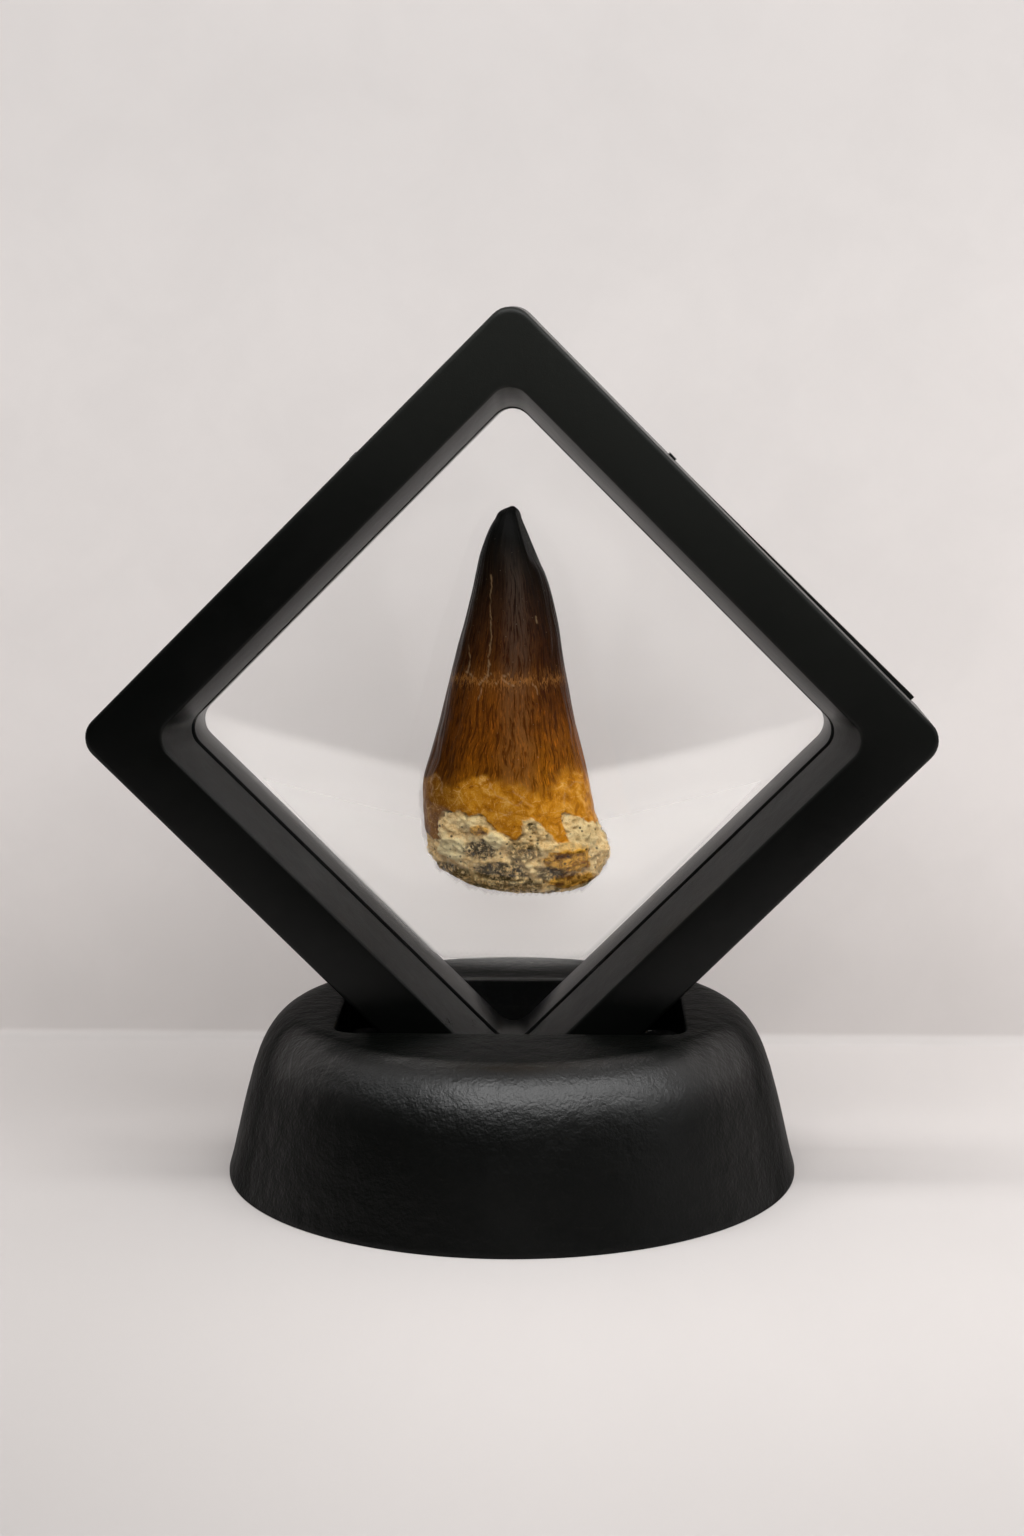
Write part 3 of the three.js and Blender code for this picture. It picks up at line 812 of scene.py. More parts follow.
@dataclass
class Tooth:
    """The fossil: a slightly flattened crown over a ragged crust of matrix.

    Attributes:
        foot: Height of its lowest point.
        stations: Height over the foot, left edge, right edge and half-depth, up to the tip.
        segments: Points round each ring.
        crust_edge: Angle in degrees and height of the crust's ragged edge.
        neck_edge: The same, for the upper edge of the ochre neck.
        lumps: Named lumps of the crust.
        cracks: Fine pale lines, each a row of X and height.
    """

    foot: float = 43.0
    stations: tuple[tuple[float, float, float, float], ...] = (
        (0.0, -3.0, 9.6, 4.6), (0.45, -5.4, 11.0, 6.0), (1.4, -7.9, 12.2, 6.9),
        (2.7, -10.0, 13.3, 7.6), (4.6, -11.7, 14.3, 8.2), (6.4, -12.4, 14.5, 8.5),
        (8.4, -12.9, 14.0, 8.65), (10.4, -13.15, 12.9, 8.7), (13.2, -13.3, 12.1, 8.65),
        (16.5, -13.1, 11.45, 8.5), (20.3, -12.0, 10.5, 8.25), (25.8, -10.5, 9.2, 7.7),
        (31.7, -9.15, 8.05, 6.95), (36.3, -8.1, 7.3, 6.3), (40.0, -7.05, 6.75, 5.7),
        (45.9, -5.6, 5.35, 4.7), (51.3, -4.3, 3.15, 3.4), (55.4, -2.45, 1.45, 1.95),
        (56.9, -1.2, 0.85, 0.95), (57.25, -0.3, 0.4, 0.35),
    )
    segments: int = 316
    crust_edge: tuple[Span, ...] = (
        (0, 10.0), (20, 11.5), (45, 9.5), (70, 12.0), (95, 10.5), (120, 12.5), (150, 10.0),
        (180, 9.0), (205, 8.2), (214, 8.6), (217, 12.3), (225, 12.8), (235, 13.0), (245, 12.5),
        (252, 12.9), (258, 11.5), (262, 10.2), (266, 9.6), (272, 8.9), (277, 9.8), (280, 12.0),
        (286, 12.6), (291, 11.6), (295, 10.0), (298, 8.6), (303, 8.2), (307, 8.5), (309, 12.6),
        (315, 12.5), (322, 12.0), (335, 11.0), (350, 10.5), (360, 10.0),
    )
    neck_edge: tuple[Span, ...] = (
        (0, 17.5), (40, 16.5), (80, 18.0), (120, 16.0), (160, 17.5), (195, 17.0), (207, 17.9),
        (218, 16.4), (226, 16.2), (237, 17.6), (253, 18.2), (267, 17.4), (279, 17.8),
        (288, 16.0), (297, 15.3), (309, 17.2), (322, 18.6), (340, 18.2), (360, 17.5),
    )
    lumps: tuple[Lump, ...] = (
        Lump(-8.6, 7.2, 2.2, 2.0, 0.55, cream=1.0),
        Lump(-10.8, 9.0, 1.6, 1.2, 0.3, cream=0.6),
        Lump(-5.8, 11.2, 2.6, 1.3, 0.25, cream=0.5),
        Lump(-2.4, 8.9, 1.7, 1.4, 0.5, cream=1.0),
        Lump(-4.6, 10.3, 1.5, 0.9, 0.2, cream=0.6, ochre=0.5),
        Lump(3.1, 11.1, 2.0, 1.9, 0.25, cream=0.2),
        Lump(8.3, 7.5, 3.0, 1.1, 0.45, cream=0.8, ochre=0.35),
        Lump(8.6, 5.6, 3.6, 2.0, 0.4, ochre=1.0),
        Lump(11.0, 9.4, 2.8, 2.6, 0.2, cream=0.4),
        Lump(-4.6, 7.3, 2.6, 1.6, -0.35, soot_and_shade=1.0),
        Lump(2.0, 7.0, 2.8, 1.6, -0.15, soot_and_shade=0.8),
        Lump(-1.4, 3.9, 4.4, 1.7, -0.3, soot_and_shade=1.0),
        Lump(-9.2, 3.3, 3.0, 1.5, -0.1, soot_and_shade=0.9),
        Lump(5.9, 3.7, 2.4, 1.3, -0.25, soot_and_shade=0.9),
        Lump(3.1, 11.0, 0.9, 0.8, -0.3, soot_and_shade=0.8),
        Lump(0.6, 1.9, 4.6, 1.5, 0.2, soot_and_shade=0.8),
        Lump(9.0, 2.4, 3.8, 1.5, 0.25, ochre=0.6),
    )
    cracks: tuple[tuple[Span, ...], ...] = (
        ((-2.95, 47.5), (-3.1, 43.0), (-3.0, 38.5), (-3.25, 35.0), (-3.7, 32.2)),
        ((-6.5, 37.2), (-6.1, 35.3), (-6.3, 33.6)),
        ((-7.0, 33.5), (-6.2, 33.2), (-5.8, 32.6)),
        ((-4.6, 31.6), (-3.9, 32.9), (-3.0, 33.3)),
        ((-4.3, 31.2), (-4.9, 29.6)),
        ((-2.2, 31.9), (-1.3, 32.9), (-0.2, 33.3)),
        ((-1.3, 32.6), (-0.3, 31.9), (0.7, 31.7)),
        ((3.1, 31.9), (3.9, 31.0), (4.2, 30.2)),
        ((3.6, 41.6), (3.9, 40.7)),
        ((-11.9, 14.8), (-11.8, 17.2), (-11.2, 18.0), (-10.5, 17.0), (-10.3, 15.4)),
        ((-3.3, 18.0), (-2.2, 15.7), (-0.8, 15.1), (0.9, 14.2), (2.2, 15.0)),
        ((0.2, 16.3), (1.9, 15.2), (3.1, 14.0)),
        ((8.0, 14.0), (8.3, 16.2), (9.4, 17.1), (10.6, 16.7)),
        ((-1.8, 13.4), (-0.6, 12.6), (0.2, 13.4)),
    )

    def levels(self) -> list[Span]:
        """Height and share of the ring's size for each row, from pole to pole.

        Returns:
            The rows, from the lowest pole up.
        """
        rows = [(0.0, 0.0)]
        rows += [(0.0, k / 12) for k in range(1, 12)]
        for start, end, pitch in ((0.0, 14.0, 0.125), (14.0, 20.0, 0.2), (20.0, 57.25, 0.272)):
            count = round((end - start) / pitch)
            rows += [(start + (end - start) * k / count, 1.0) for k in range(count)]
        tip = self.stations[-1][0]
        rows += [(tip, 1.0), (tip + 0.06, 0.8), (tip + 0.1, 0.45), (tip + 0.11, 0.0)]
        return rows

    def outline(self, heights: Array) -> list[Array]:
        """Left edge, right edge and half-depth at each height, on a smooth curve.

        Args:
            heights: Heights over the foot.

        Returns:
            Three arrays as long as the heights.
        """
        table = np.array(self.stations)
        h = table[:, 0]
        columns = []
        for values in table[:, 1:].T:
            slope = np.gradient(values, h)
            i = np.clip(np.searchsorted(h, heights, side="right") - 1, 0, len(h) - 2)
            span = h[i + 1] - h[i]
            t = np.clip((heights - h[i]) / span, 0, 1)
            columns.append((2 * t**3 - 3 * t**2 + 1) * values[i]
                           + (t**3 - 2 * t**2 + t) * span * slope[i]
                           + (3 * t**2 - 2 * t**3) * values[i + 1]
                           + (t**3 - t**2) * span * slope[i + 1])
        return columns

    @staticmethod
    def cloud(points: Array, pitch: float, octaves: int = 1, shift: float = 0.0) -> Array:
        """Noise around 0 with features of about `pitch` millimetres, at each point.

        Args:
            points: Places, in millimetres.
            pitch: Size of its features.
            octaves: How many layers it has.
            shift: Offset that sets it apart from others.

        Returns:
            The noise at each point.
        """
        scaled = points / pitch + shift
        if octaves == 1:
            return np.array([noise.noise(p) for p in scaled.tolist()])
        return np.array([noise.fractal(p, 0.9, 2.0, octaves) for p in scaled.tolist()])

    @staticmethod
    def pebbles(points: Array, pitch: float) -> Array:
        """Distance to the nearest grain's centre in shares of the pitch, at each point."""
        return np.array([noise.voronoi(p)[0][0] for p in (points / pitch).tolist()])

    def enamel_relief(self, base: Array, fibre: Array, wide: Array, cos: Array) -> Array:
        """Cutting edges, long shallow facets and wavy wrinkles along the grain.

        Args:
            base: Points of the smooth tooth.
            fibre: Coordinates along the enamel's grain.
            wide: Half-width of each point's ring.
            cos: Cosine of its angle.

        Returns:
            How far each point stands out.
        """
        crown = smooth_step(base[:, 2], 12.0, 20.0)
        keel = 0.035 * np.abs(cos) ** 18
        facets = 0.028 * self.cloud(fibre, 3.1) + 0.010 * self.cloud(fibre, 1.1)
        relief = wide * crown * (keel + facets - 0.02)
        relief += crown * 0.045 * self.cloud(fibre, 0.55, 2)
        return relief + (1 - crown) * (0.16 * self.cloud(base, 3.2, 2)
                                       + 0.05 * self.cloud(base, 0.9))

    def laid_lumps(self, base: Array, front: Array) -> tuple[Array, Array]:
        """What the named lumps do to the front.

        Args:
            base: Points of the smooth tooth.
            front: How far each is on the front, between 0 and 1.

        Returns:
            How far the lumps raise each point, and rows of its cream, ochre and soot, the soot
            partly painted shade.
        """
        raised, stains = np.zeros(len(base)), np.zeros((3, len(base)))
        for lump in self.lumps:
            wobble = 0.25 * self.cloud(base, 0.9, 1, lump.x)
            reach = np.hypot((base[:, 0] - lump.x) / lump.wide,
                             (base[:, 2] - lump.height) / lump.tall) + wobble
            inside = (1 - smooth_step(reach, 0.7, 1.15)) * front
            raised += lump.rise * inside
            stains = np.maximum(stains, np.outer([lump.cream, lump.ochre, lump.soot_and_shade], inside))
        return raised, stains

    def worn(self, points: Array, heights: Array) -> Array:
        """Sets the points past the worn facet by the tip back onto it.

        Args:
            points: The tooth's points.
            heights: Their heights over the foot.

        Returns:
            The points.
        """
        flat = np.array(Vector((0.86, -0.36, 0.33)).normalized())
        past = np.maximum((points - np.array((1.95, 0.0, self.foot + 54.0))) @ flat, 0.0)
        return points - np.outer(past * smooth_step(heights, 47.5, 51.0), flat)

    def surface(self, heights: Array, share: Array,
                angle: Array) -> tuple[Array, dict[str, Array]]:
        """Shape and painted zones of the tooth.

        Args:
            heights: Height of each point's row.
            share: Size of its ring, below 1 on the underside and the tip.
            angle: Angle of each point, 0 at +X and 270 degrees at the front.

        Returns:
            The points, and the values that the finish reads.
        """
        left, right, deep = self.outline(heights)
        centre, wide = (left + right) / 2, (right - left) / 2
        cos, sin = np.cos(angle), np.sin(angle)
        base = np.stack([centre + wide * cos * share, deep * sin * share, heights], 1)
        sway = angle + 0.05 * self.cloud(base, 5.0, 2, 4.4)
        fibre = np.stack([9 * np.cos(sway), 9 * np.sin(sway), heights * 0.13], 1)
        degrees = np.degrees(angle) % 360
        front = smooth_step(-sin, -0.05, 0.15)
        back = 1 - front

        # Zones: the crust's ragged edge, and the soft upper rim of the neck.
        ragged = 0.45 * self.cloud(base, 1.3) + 0.3 * self.cloud(base, 0.5)
        edge = np.interp(degrees, *np.array(self.crust_edge).T) + ragged
        crust = 1 - smooth_step(heights, edge - 0.12, edge + 0.12)
        rim = np.interp(degrees, *np.array(self.neck_edge).T) + 0.9 * self.cloud(base, 3.0, 3)
        soft = 0.5 + 1.0 * smooth_step(degrees, 255, 285)
        neck = 1 - smooth_step(heights, rim - soft, rim + soft)

        # Crust: lumps on lumps, grains, holes, and a groove under the enamel's broken edge,
        # darkened by painted shadow.
        gap = np.exp(-(((heights - edge + 0.12) / 0.17) ** 2))
        gap *= smooth_step(self.cloud(base, 1.1, 1, 2.2), -0.35, 0.25)
        lesser = self.cloud(base, 1.15)
        least = 0.20 * self.cloud(base, 0.5, 2)
        rubble = 0.50 * self.cloud(base, 2.7) + 0.42 * lesser + least
        grains = 0.22 * (0.45 - self.pebbles(base, 0.85))
        holes = smooth_step(self.cloud(base, 0.75, 1, 7.3), 0.28, 0.5)
        raised, stains = self.laid_lumps(base, front)
        rough = rubble + grains + raised - 0.4 * holes - 0.08
        enamel = self.enamel_relief(base, fibre, wide, cos)
        foot = smooth_step(heights, 0.0, 3.0)
        push = (enamel * (1 - crust) + crust * rough - 0.22 * gap) * share * (0.5 + 0.5 * foot)
        points = base + np.stack([
            push * cos, push * sin,
            self.foot + crust * (1 - foot) * 0.5 * (1 - share * 0.6 + rubble)], 1)

        # Stains: the named ones, cloudy patches behind, pale ridges partly painted as highlight,
        # and an underside darkened partly by soot and partly by painted shade.
        patches = self.cloud(base, 2.2, 2, 3.1)
        sunk = 0.42 * lesser + least + grains
        stains[0] = np.maximum(stains[0], back * smooth_step(patches, 0.15, 0.4))
        stains[2] = np.maximum(stains[2], back * smooth_step(-patches, 0.15, 0.4))
        # Hollow: painted shade in the crust's crevices and holes, and painted shadow in the groove
        # under the enamel.
        hollow = np.clip(crust * (0.4 * holes + 0.75 * smooth_step(-sunk, 0.28, 0.55))
                         * (1 - 0.7 * stains[0]) + 0.7 * gap * crust, 0, 1)
        # Cream on the raised points: partly paler stone, partly painted highlight.
        stains[0] = np.maximum(stains[0], 0.5 * smooth_step(sunk, 0.10, 0.4))
        # Underside: darker toward the foot, partly a stain and partly painted shade under the
        # tooth.
        stains[2] = np.maximum(stains[2], (1 - smooth_step(heights, 1.0, 5.0)) * 0.9
                               * smooth_step(patches, -0.4, 0.2) * (1 - stains[1]))
        return self.worn(points, heights), {
            "fibre": fibre,
            "zones": np.stack([crust, neck, hollow], 1),
            "stains": stains.T,
            "lines": self.pale_lines(base, heights) * front * (1 - crust),
        }

    def pale_lines(self, base: Array, heights: Array) -> Array:
        """How strongly a fine pale crack shows at each point of the front.

        Args:
            base: Points of the smooth tooth.
            heights: Their heights over the foot.

        Returns:
            The strength, between 0 and 1.
        """
        at = np.stack([base[:, 0] + 0.3 * self.cloud(base, 1.1, 2), heights], 1)
        nearest = np.full(len(at), 9.0)
        for crack in self.cracks:
            for start, end in zip(crack, crack[1:]):
                a, way = np.array(start), np.subtract(end, start)
                t = np.clip((at - a) @ way / (way @ way), 0, 1)
                gap = np.linalg.norm(at - a - t[:, None] * way, axis=1)
                nearest = np.minimum(nearest, gap)
        return (1 - smooth_step(nearest, 0.01, 0.15)) * smooth_step(
            self.cloud(base, 0.8, 1, 5.5), -0.6, -0.2)

    def front_depth(self, x: Array, z: Array) -> Array:
        """How far the smooth tooth reaches out from the middle plane.

        Args:
            x: Places across the frame's plane.
            z: Their heights over the table.

        Returns:
            The depth at each place, 0 beside the tooth.
        """
        left, right, deep = self.outline(np.clip(z - self.foot, 0, self.stations[-1][0]))
        across = (x - (left + right) / 2) / np.maximum((right - left) / 2, 0.01)
        within = (z > self.foot) & (z < self.foot + self.stations[-1][0])
        return np.where(within, deep * np.sqrt(np.clip(1 - across**2, 0, 1)), 0.0)

    def build(self, finish: Material) -> None:
        """Builds the tooth from a globe whose rows and columns are laid over its shape.

        Args:
            finish: Its material.
        """
        rows = self.levels()
        bm = bmesh.new()
        bmesh.ops.create_uvsphere(bm, u_segments=self.segments, v_segments=len(rows) - 1, radius=1)
        globe = np.array([v.co for v in bm.verts])
        polar = np.arctan2(np.hypot(globe[:, 0], globe[:, 1]), -globe[:, 2])
        row = np.rint(polar / math.pi * (len(rows) - 1)).astype(int)
        heights, share = np.array(rows)[row].T
        points, painted = self.surface(heights, share, np.arctan2(globe[:, 1], globe[:, 0]))
        for name, values in painted.items():
            layers = bm.verts.layers.float if values.ndim == 1 else bm.verts.layers.float_vector
            layer = layers.new(name)
            for vert, value in zip(bm.verts, values.tolist()):
                vert[layer] = value
        for vert, point in zip(bm.verts, points.tolist()):
            vert.co = point
        outward(bm)
        place(bm, "fossil_tooth", Slot.FOSSIL, finish, "tooth", crease=180.0)


# ---- Films ----


@dataclass
class FilmPair:
    """The two clear films, stretched over the tooth from both sides."""

    tooth: Tooth
    half: float = 39.5           # half-side of each clamped square
    free_half: float = 33.9      # the film leaves the middle plane inside this one
    thick: float = 0.2
    over: float = 0.6            # clearance over the tooth's mean surface
    bearing: float = 0.7         # it still rests on the tooth this far past its outline
    tent_from: float = 49.0      # from this height on the tooth it runs straight to the top
    tent_to: float = 47.5        # height over the frame's centre where that ridge ends
    tent_rise: float = 4.4
    tent_half: float = 5.5
    reflection_under: float = 6.2      # the painted reflection of the table starts this far under the frame's centre
    reflection_sag: float = 8.4        # and this much higher at the side corners
    reflection_half: float = 44.0      # distance of those corners from the middle
    reflection_lift: float = 1.1       # the tooth stands this much higher against the film
    cells: int = 118             # squares along each side
    rounds: int = 2500           # rounds in which the film pulls itself taut

    @staticmethod
    def upright(a: Array, b: Array) -> tuple[Array, Array]:
        """X and Z of places given along the frame's two slanting sides."""
        return (a - b) / math.sqrt(2), (a + b) / math.sqrt(2) + FRAME_CENTRE

    def taut(self, a: Array, b: Array) -> Array:
        """Height of the taut film over the middle plane.

        Args:
            a: Grid places along one side of the frame.
            b: Places along the other side.

        Returns:
            The height at each place, resting on the tooth and pulled straight elsewhere.
        """
        x, z = self.upright(a, b)
        held = self.tooth.front_depth(x, z)
        for near in (self.bearing, -self.bearing):
            held = np.maximum(held, self.tooth.front_depth(x + near, z))
            held = np.maximum(held, self.tooth.front_depth(x, z + near))
        held = np.where(held > 0, held + self.over, 0.0)
        start, end = self.tooth.foot + self.tent_from, FRAME_CENTRE + self.tent_to
        ridge = np.clip((end - z) / (end - start), 0, 1) * (1 - (x / self.tent_half) ** 2)
        held = np.maximum(held, np.where(z > start, self.tent_rise * ridge, 0.0))
        free = np.maximum(np.abs(a), np.abs(b)) < self.free_half
        lift = np.where(free, held, 0.0)
        for _ in range(self.rounds):
            mean = np.zeros_like(lift)
            mean[1:-1, 1:-1] = (lift[:-2, 1:-1] + lift[2:, 1:-1]
                                + lift[1:-1, :-2] + lift[1:-1, 2:]) / 4
            lift = np.where(free, np.maximum(held, mean), 0.0)
        return lift

    def table_reflection(self, a: Array, b: Array) -> Array:
        """How strongly the front film shows the painted reflection of the pale table.

        Args:
            a: Grid places along one side of the frame.
            b: Places along the other side.

        Returns:
            The strength at each place: growing below a sagging line, faint beside the upper
            right arm, and none over the tooth, along the lower arms and in the bottom corner.
        """
        x, z = self.upright(a, b)
        line = FRAME_CENTRE - self.reflection_under + self.reflection_sag * (np.abs(x) / self.reflection_half) ** 1.5
        below = smooth_step(line - z, -0.8, 1.4)
        strength = below * (0.50 + 0.50 * smooth_step(line - z, 0, 24))
        strength += 0.14 * smooth_step(a, 14.0, 30.0) * (1 - below)
        strength *= self.tooth.front_depth(x, z - self.reflection_lift) <= 0
        strength *= 1 - smooth_step(np.maximum(-a, -b), 31.6, 33.0)
        return strength * smooth_step(z, 30.5, 34.0)

    def film(self, side: Side, name: str, finish: Material, stands_for: str) -> None:
        """Builds one film from a grid, set out to its taut shape and given its thickness.

        Args:
            side: The side of the frame that it covers.
            name: The piece's name.
            finish: Its material.
            stands_for: The CAD node that it replaces.
        """
        bm = bmesh.new()
        bmesh.ops.create_grid(bm, x_segments=self.cells, y_segments=self.cells, size=self.half)
        steps = np.linspace(-self.half, self.half, self.cells + 1)
        places = np.meshgrid(steps, steps, indexing="ij")
        lift = self.taut(*places)
        table_reflection = self.table_reflection(*places) if side is Side.FRONT else np.zeros_like(lift)
        pitch = 2 * self.half / self.cells
        layer = bm.verts.layers.float.new("table_reflection")
        for vert in bm.verts:
            i, j = (round((c + self.half) / pitch) for c in vert.co[:2])
            vert.co.z = -side.value * (HALF_GAP + float(lift[i, j]))
            vert[layer] = float(table_reflection[i, j])
        turn = Matrix.Rotation(math.radians(45), 4, "Z")
        move = Matrix.Translation((0, 0, FRAME_CENTRE)) @ STAND_UP @ turn
        bmesh.ops.transform(bm, matrix=move, verts=bm.verts)
        outward(bm)
        if (bm.faces[:][0].normal.y > 0) != (side is Side.REAR):
            bmesh.ops.reverse_faces(bm, faces=bm.faces)
        bmesh.ops.solidify(bm, geom=bm.faces, thickness=-self.thick)
        outward(bm)
        place(bm, name, Slot.FILM, finish, stands_for, crease=50.0).visible_shadow = False

    def build(self, front: Material, rear: Material) -> None:
        """Builds both films."""
        self.film(Side.FRONT, "film_front", front, "front_film")
        self.film(Side.REAR, "film_rear", rear, "rear_film")


# ---- Base ----


@dataclass
class RoundBase:
    """The round moulded base, a shell with a recess that cradles the frame's corner."""

    profile: tuple[Span, ...] = (       # radius and height, from the table to the flat top
        (42.98, 0.05), (42.98, 0.5), (42.86, 1.0), (42.4, 2.6), (41.85, 5.0), (41.3, 7.4),
        (40.7, 10.0), (40.2, 12.0), (39.65, 14.0), (39.22, 15.6), (38.75, 17.0), (38.31, 18.3),
        (37.8, 19.5), (37.26, 20.55), (36.65, 21.5), (36.1, 22.25), (35.5, 22.9), (34.88, 23.45),
        (34.2, 23.9), (33.42, 24.26), (32.6, 24.5), (31.6, 24.65), (30.6, 24.7),
    )
    recess_half: float = 25.7           # the recess: its half-width, walls and corners
    recess_front: float = -15.5
    recess_rear: float = 17.5
    recess_corner: float = 3.0
    lip: float = 0.6                    # rounding of its edge
    floor: float = 16.0                 # height of its floor
    wall: float = 2.3
    cradle_fit: float = 0.3             # clearance round the frame's corner
    cradle_corner: float = 0.3
    cradle_levels: Span = (8.0, 4.75)   # heights of the cradle's lower outlines
    segments: int = 192
    corner_steps: int = 8

    def box_loop(self, bm: Mesh, low: Span, high: Span,
                 z: float, corner: float) -> Edges:
        """Adds a level rectangle with rounded corners.

        Args:
            bm: Mesh that takes it.
            low: Its least X and Y.
            high: Its greatest X and Y.
            z: Its height.
            corner: Its corner radius.

        Returns:
            Its edges.
        """
        made = bmesh.ops.create_grid(bm, x_segments=1, y_segments=1, size=0.5)["verts"]
        middle = Matrix.Translation(((low[0] + high[0]) / 2, (low[1] + high[1]) / 2, z))
        grow = Matrix.Diagonal((high[0] - low[0], high[1] - low[1], 1, 1))
        bmesh.ops.transform(bm, matrix=middle @ grow, verts=made)
        return rounded_outline(bm, made, corner, self.corner_steps)

    def skin(self, bm: Mesh) -> Edges:
        """Spins the outer skin.

        Args:
            bm: Mesh that takes it.

        Returns:
            The edge loop round the flat top.
        """
        verts = [bm.verts.new((r, 0, z)) for r, z in self.profile]
        line = [bm.edges.new(pair) for pair in zip(verts, verts[1:])]
        bmesh.ops.spin(bm, geom=verts + line, cent=(0, 0, 0), axis=(0, 0, 1), dvec=(0, 0, 0),
                       angle=math.tau, steps=self.segments, use_merge=True, use_duplicate=False)
        top = self.profile[-1][1]
        return [e for e in bm.edges if e.is_boundary and e.verts[0].co.z > top - 0.01]

    def cradle_half(self, z: float) -> float:
        """Half-width of the cradle's V at a height."""
        reach = (FRAME_HALF + self.cradle_fit) * math.sqrt(2)
        return reach - (FRAME_CENTRE - z)

    def build(self, finish: Material) -> None:
        """Builds the base: skin, flat top, recess and cradle, then the wall's thickness.

        Args:
            finish: Its material.
        """
        bm = bmesh.new()
        loops = [self.skin(bm)]
        top = self.profile[-1][1]
        deep = FRAME_DEEP + self.cradle_fit

        # The recess: grown and lowered round its lip, then straight down to its floor.
        turns = np.linspace(0, math.pi / 2, 5)
        recess = [(self.lip * (1 - math.sin(t)), top - self.lip * (1 - math.cos(t))) for t in turns]
        for grow, z in recess + [(0.0, self.floor + 0.5), (-0.5, self.floor)]:
            loops.append(self.box_loop(
                bm, (-self.recess_half - grow, self.recess_front - grow),
                (self.recess_half + grow, self.recess_rear + grow), z, self.recess_corner + grow))
        for z in (self.floor, *self.cradle_levels):
            half = self.cradle_half(z)
            loops.append(self.box_loop(bm, (-half, -deep), (half, deep), z, self.cradle_corner))
        join_loops(bm, loops, (0, 0, 1))
        bmesh.ops.contextual_create(bm, geom=loops[-1])
        bmesh.ops.remove_doubles(bm, verts=bm.verts, dist=1e-4)
        outward(bm)
        side = min(bm.faces, key=lambda f: f.calc_center_median().z if abs(f.normal.z) < 0.5
                   else math.inf)
        if side.normal.dot(side.calc_center_median()) < 0:
            bmesh.ops.reverse_faces(bm, faces=bm.faces)
        bmesh.ops.solidify(bm, geom=bm.faces, thickness=self.wall)
        outward(bm)
        place(bm, "round_base", Slot.BASE, finish, "base", crease=38.0)


# ---- Studio ----


@dataclass
class ViewCamera:
    """The camera, on a level ring round the object and pitched down."""

    distance: float = 405.0
    height: float = 130.0
    turn: float = 0.026
    pitch: float = 0.168
    lens: float = 64.5

    def build(self) -> None:
        """Adds the camera and makes it the scene's."""
        camera = bpy.data.cameras.new("view")
        camera.lens, camera.sensor_width, camera.sensor_fit = self.lens, 36.0, "AUTO"
        camera.clip_start, camera.clip_end = 0.01, 20.0
        holder = bpy.data.objects.new("view", camera)
        bpy.context.scene.collection.objects.link(holder)
        holder.location = Vector((math.sin(self.turn) * self.distance,
                                  -math.cos(self.turn) * self.distance, self.height)) * MM
        ahead = Vector((-math.sin(self.turn) * math.cos(self.pitch),
                        math.cos(self.turn) * math.cos(self.pitch), -math.sin(self.pitch)))
        holder.rotation_euler = ahead.to_track_quat("-Z", "Y").to_euler()
        bpy.context.scene.camera = holder


class Softbox(NamedTuple):
    """A rectangular studio light, in millimetres and watts."""

    name: str
    place: tuple[float, float, float]
    aim: tuple[float, float, float]
    size: Span
    power: float
    mirrored: bool = True


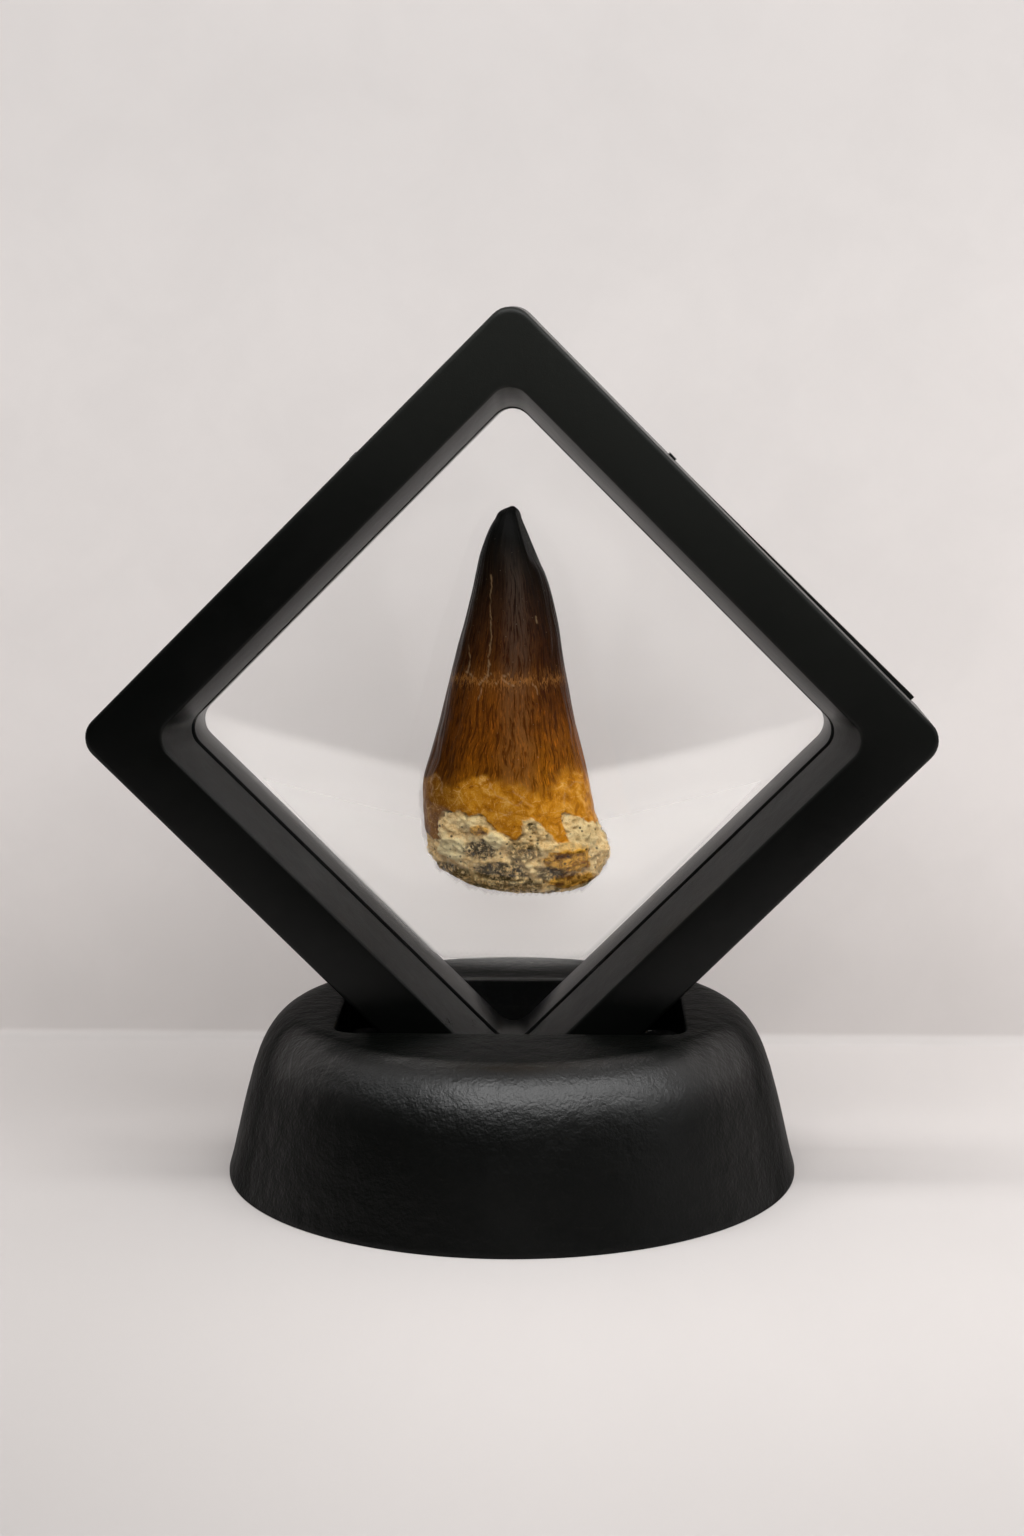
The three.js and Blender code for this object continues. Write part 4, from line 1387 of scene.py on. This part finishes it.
@dataclass
class Studio:
    """Plain pale floor and wall, soft lights and a pale surround."""

    wall_y: float = 70.5         # where the paper turns up into the wall
    front_y: float = -190.0      # where it starts in front
    half_width: float = 450.0
    wall_top: float = 620.0
    cove: float = 2.0            # radius of the turn
    paper: Colour = (0.83, 0.785, 0.765)
    glow: Colour = (0.74, 0.70, 0.67)    # the surround's colour
    room: Colour = (0.9, 0.95, 1.0)      # the dim room that gloss reflects
    room_strength: float = 0.015
    floor_radius: float = 1900.0
    floor_drop: float = 0.6      # the surround's floor lies this far below the paper
    dome_radius: float = 2000.0
    lights: tuple[Softbox, ...] = (
        Softbox("overhead", (40, -395, 565), (40, 0, 40), (660, 440), 3.3),
        Softbox("right_high", (420, -200, 500), (0, 0, 40), (200, 300), 0.8),
        Softbox("right_mid", (560, -230, 260), (0, 0, 60), (200, 300), 0.35),
        Softbox("left_high", (-440, -160, 480), (-100, 60, 120), (240, 240), 0.2),
        Softbox("wall_wash", (-120, -10, 640), (-120, 80, 60), (620, 90), 1.8, mirrored=False),
    )

    def paper_finish(self) -> Material:
        """Matt pale paper, a little uneven in tone, with painted shade and light on its floor and
        wall, and clear when seen from behind.

        Returns:
            The material.
        """
        r = Recipe("pale_paper")
        x, y, z = r.split(r.where)
        shade = r.mix(r.noise(0.02, 4, 0.6, 0.5), toned(self.paper, 0.97), self.paper)
        # Painted shade: darker toward the foot of the wall, darker still in the cove, and the floor
        # darker toward the front.
        for way, start, end, by in ((z, 30, 1, 0.90), (z, 1.5, 0.2, 0.76), (y, -45, -160, 0.60)):
            shade = r.mix(r.step(way, start, end), shade, toned(self.paper, by))
        # Painted shadow on the floor to the left of the object.
        left = r.times(r.step(x, 10, -70), r.step(z, 2, 0))
        shade = r.tint(left, shade, (0.84, 0.84, 0.84))
        # Painted light: the wall a little lighter above its foot and a little darker higher up.
        for start, end, by in ((12, 60, 1.07), (118, 175, 0.97)):
            shade = r.mix(r.step(z, start, end), shade, toned(self.paper, by))
        brush = r.node("Mapping", {"Vector": r.where, "Rotation": (0.6, 0.5, 0.4),
                                   "Scale": (0.05, 0.011, 0.05)}).outputs["Vector"]
        streaks = r.times(r.step(r.noise(1.0, 4, 0.6, 0.3, brush), 0.3, 0.7), 0.08)
        shade = r.mix(streaks, shade, toned(self.paper, 0.6))
        matt = r.node("BsdfPrincipled", {"Base Color": shade, "Roughness": 0.9})
        clear = r.node("BsdfTransparent")
        rear = r.node("NewGeometry").outputs["Backfacing"]
        both = r.node("MixShader", {0: rear, 1: matt.outputs[0], 2: clear.outputs[0]})
        r.node("OutputMaterial", {"Surface": both.outputs[0]})
        return r.material

    def sheet(self) -> None:
        """The paper: a floor that turns up into a wall behind the object."""
        bm = bmesh.new()
        verts = [bm.verts.new((-self.half_width, y, z)) for y, z in
                 ((self.front_y, 0), (self.wall_y, 0), (self.wall_y, self.wall_top))]
        for pair in zip(verts, verts[1:]):
            bm.edges.new(pair)
        bmesh.ops.bevel(bm, geom=[verts[1]], offset=self.cove, segments=8, profile=0.5,
                        affect="VERTICES", material=-1)
        wide = bmesh.ops.extrude_edge_only(bm, edges=bm.edges[:])["geom"]
        moved = [g for g in wide if isinstance(g, bmesh.types.BMVert)]
        bmesh.ops.translate(bm, vec=(2 * self.half_width, 0, 0), verts=moved)
        outward(bm)
        if min(bm.faces, key=lambda f: f.calc_center_median().z).normal.z < 0:
            bmesh.ops.reverse_faces(bm, faces=bm.faces)
        to_object(bm, "paper", self.paper_finish())

    def surround(self) -> None:
        """A wide floor and a pale dome round the studio, which the lights and gloss don't see."""
        r = Recipe("pale_dome")
        glow = r.node("Emission", {"Color": self.glow, "Strength": 1.0})
        r.node("OutputMaterial", {"Surface": glow.outputs[0]})
        floor, dome = bmesh.new(), bmesh.new()
        bmesh.ops.create_circle(floor, cap_ends=True, segments=96, radius=self.floor_radius)
        bmesh.ops.translate(floor, vec=(0, 0, -self.floor_drop), verts=floor.verts)
        bmesh.ops.create_uvsphere(dome, u_segments=48, v_segments=24, radius=self.dome_radius)
        for bm, name in ((floor, "wide_floor"), (dome, "dome")):
            piece = to_object(bm, name, r.material)
            piece.visible_diffuse = piece.visible_glossy = piece.visible_shadow = False

    def lamp(self, box: Softbox) -> None:
        """Hangs one softbox and aims it.

        Args:
            box: The softbox.
        """
        lamp = bpy.data.lights.new(box.name, "AREA")
        lamp.shape = "RECTANGLE"
        lamp.size, lamp.size_y = (s * MM for s in box.size)
        lamp.energy = box.power
        holder = bpy.data.objects.new(box.name, lamp)
        bpy.context.scene.collection.objects.link(holder)
        holder.location = Vector(box.place) * MM
        holder.visible_glossy = box.mirrored
        aim = Vector(box.aim) - Vector(box.place)
        holder.rotation_euler = aim.to_track_quat("-Z", "Y").to_euler()

    def build(self) -> None:
        """Adds the paper, the surround, the lights and the dim room that gloss reflects."""
        self.sheet()
        self.surround()
        for box in self.lights:
            self.lamp(box)
        world = bpy.data.worlds.new("room")
        world.use_nodes = True
        air = world.node_tree.nodes["Background"].inputs
        air["Color"].default_value = (*self.room, 1.0)
        air["Strength"].default_value = self.room_strength
        bpy.context.scene.world = world
        bpy.context.scene.view_settings.view_transform = "Standard"


# ---- Assembly ----


def main() -> None:
    """Builds the studio and the object."""
    logging.basicConfig(level=logging.INFO, format="%(name)s %(message)s")
    ViewCamera().build()
    Studio().build()
    black, worn = (0.0018, 0.0021, 0.0018), (0.0034, 0.0036, 0.0032)
    frame_gloss = (0.24, 0.36)
    front = MouldedPlastic("front_black", black, worn, frame_gloss, (0.24, 0.24, 0.1), 4, 0.02)
    rear = MouldedPlastic("rear_black", black, worn, frame_gloss, (0.3, 0.3, 0.14), 4, 0.02)
    base = MouldedPlastic("base_black", black, worn, (0.31, 0.42), (0.2, 0.85, 0.01), 2.2, 0.085)
    DisplayFrame().build(front.make(), rear.make())
    RoundBase().build(base.make())
    tooth = Tooth()
    tooth.build(Fossil(foot=tooth.foot, reach=tooth.stations[-1][0]).make())
    FilmPair(tooth).build(StretchedFilm("front_clear").make(), StretchedFilm("rear_clear").make())


if __name__ == "__main__":
    main()
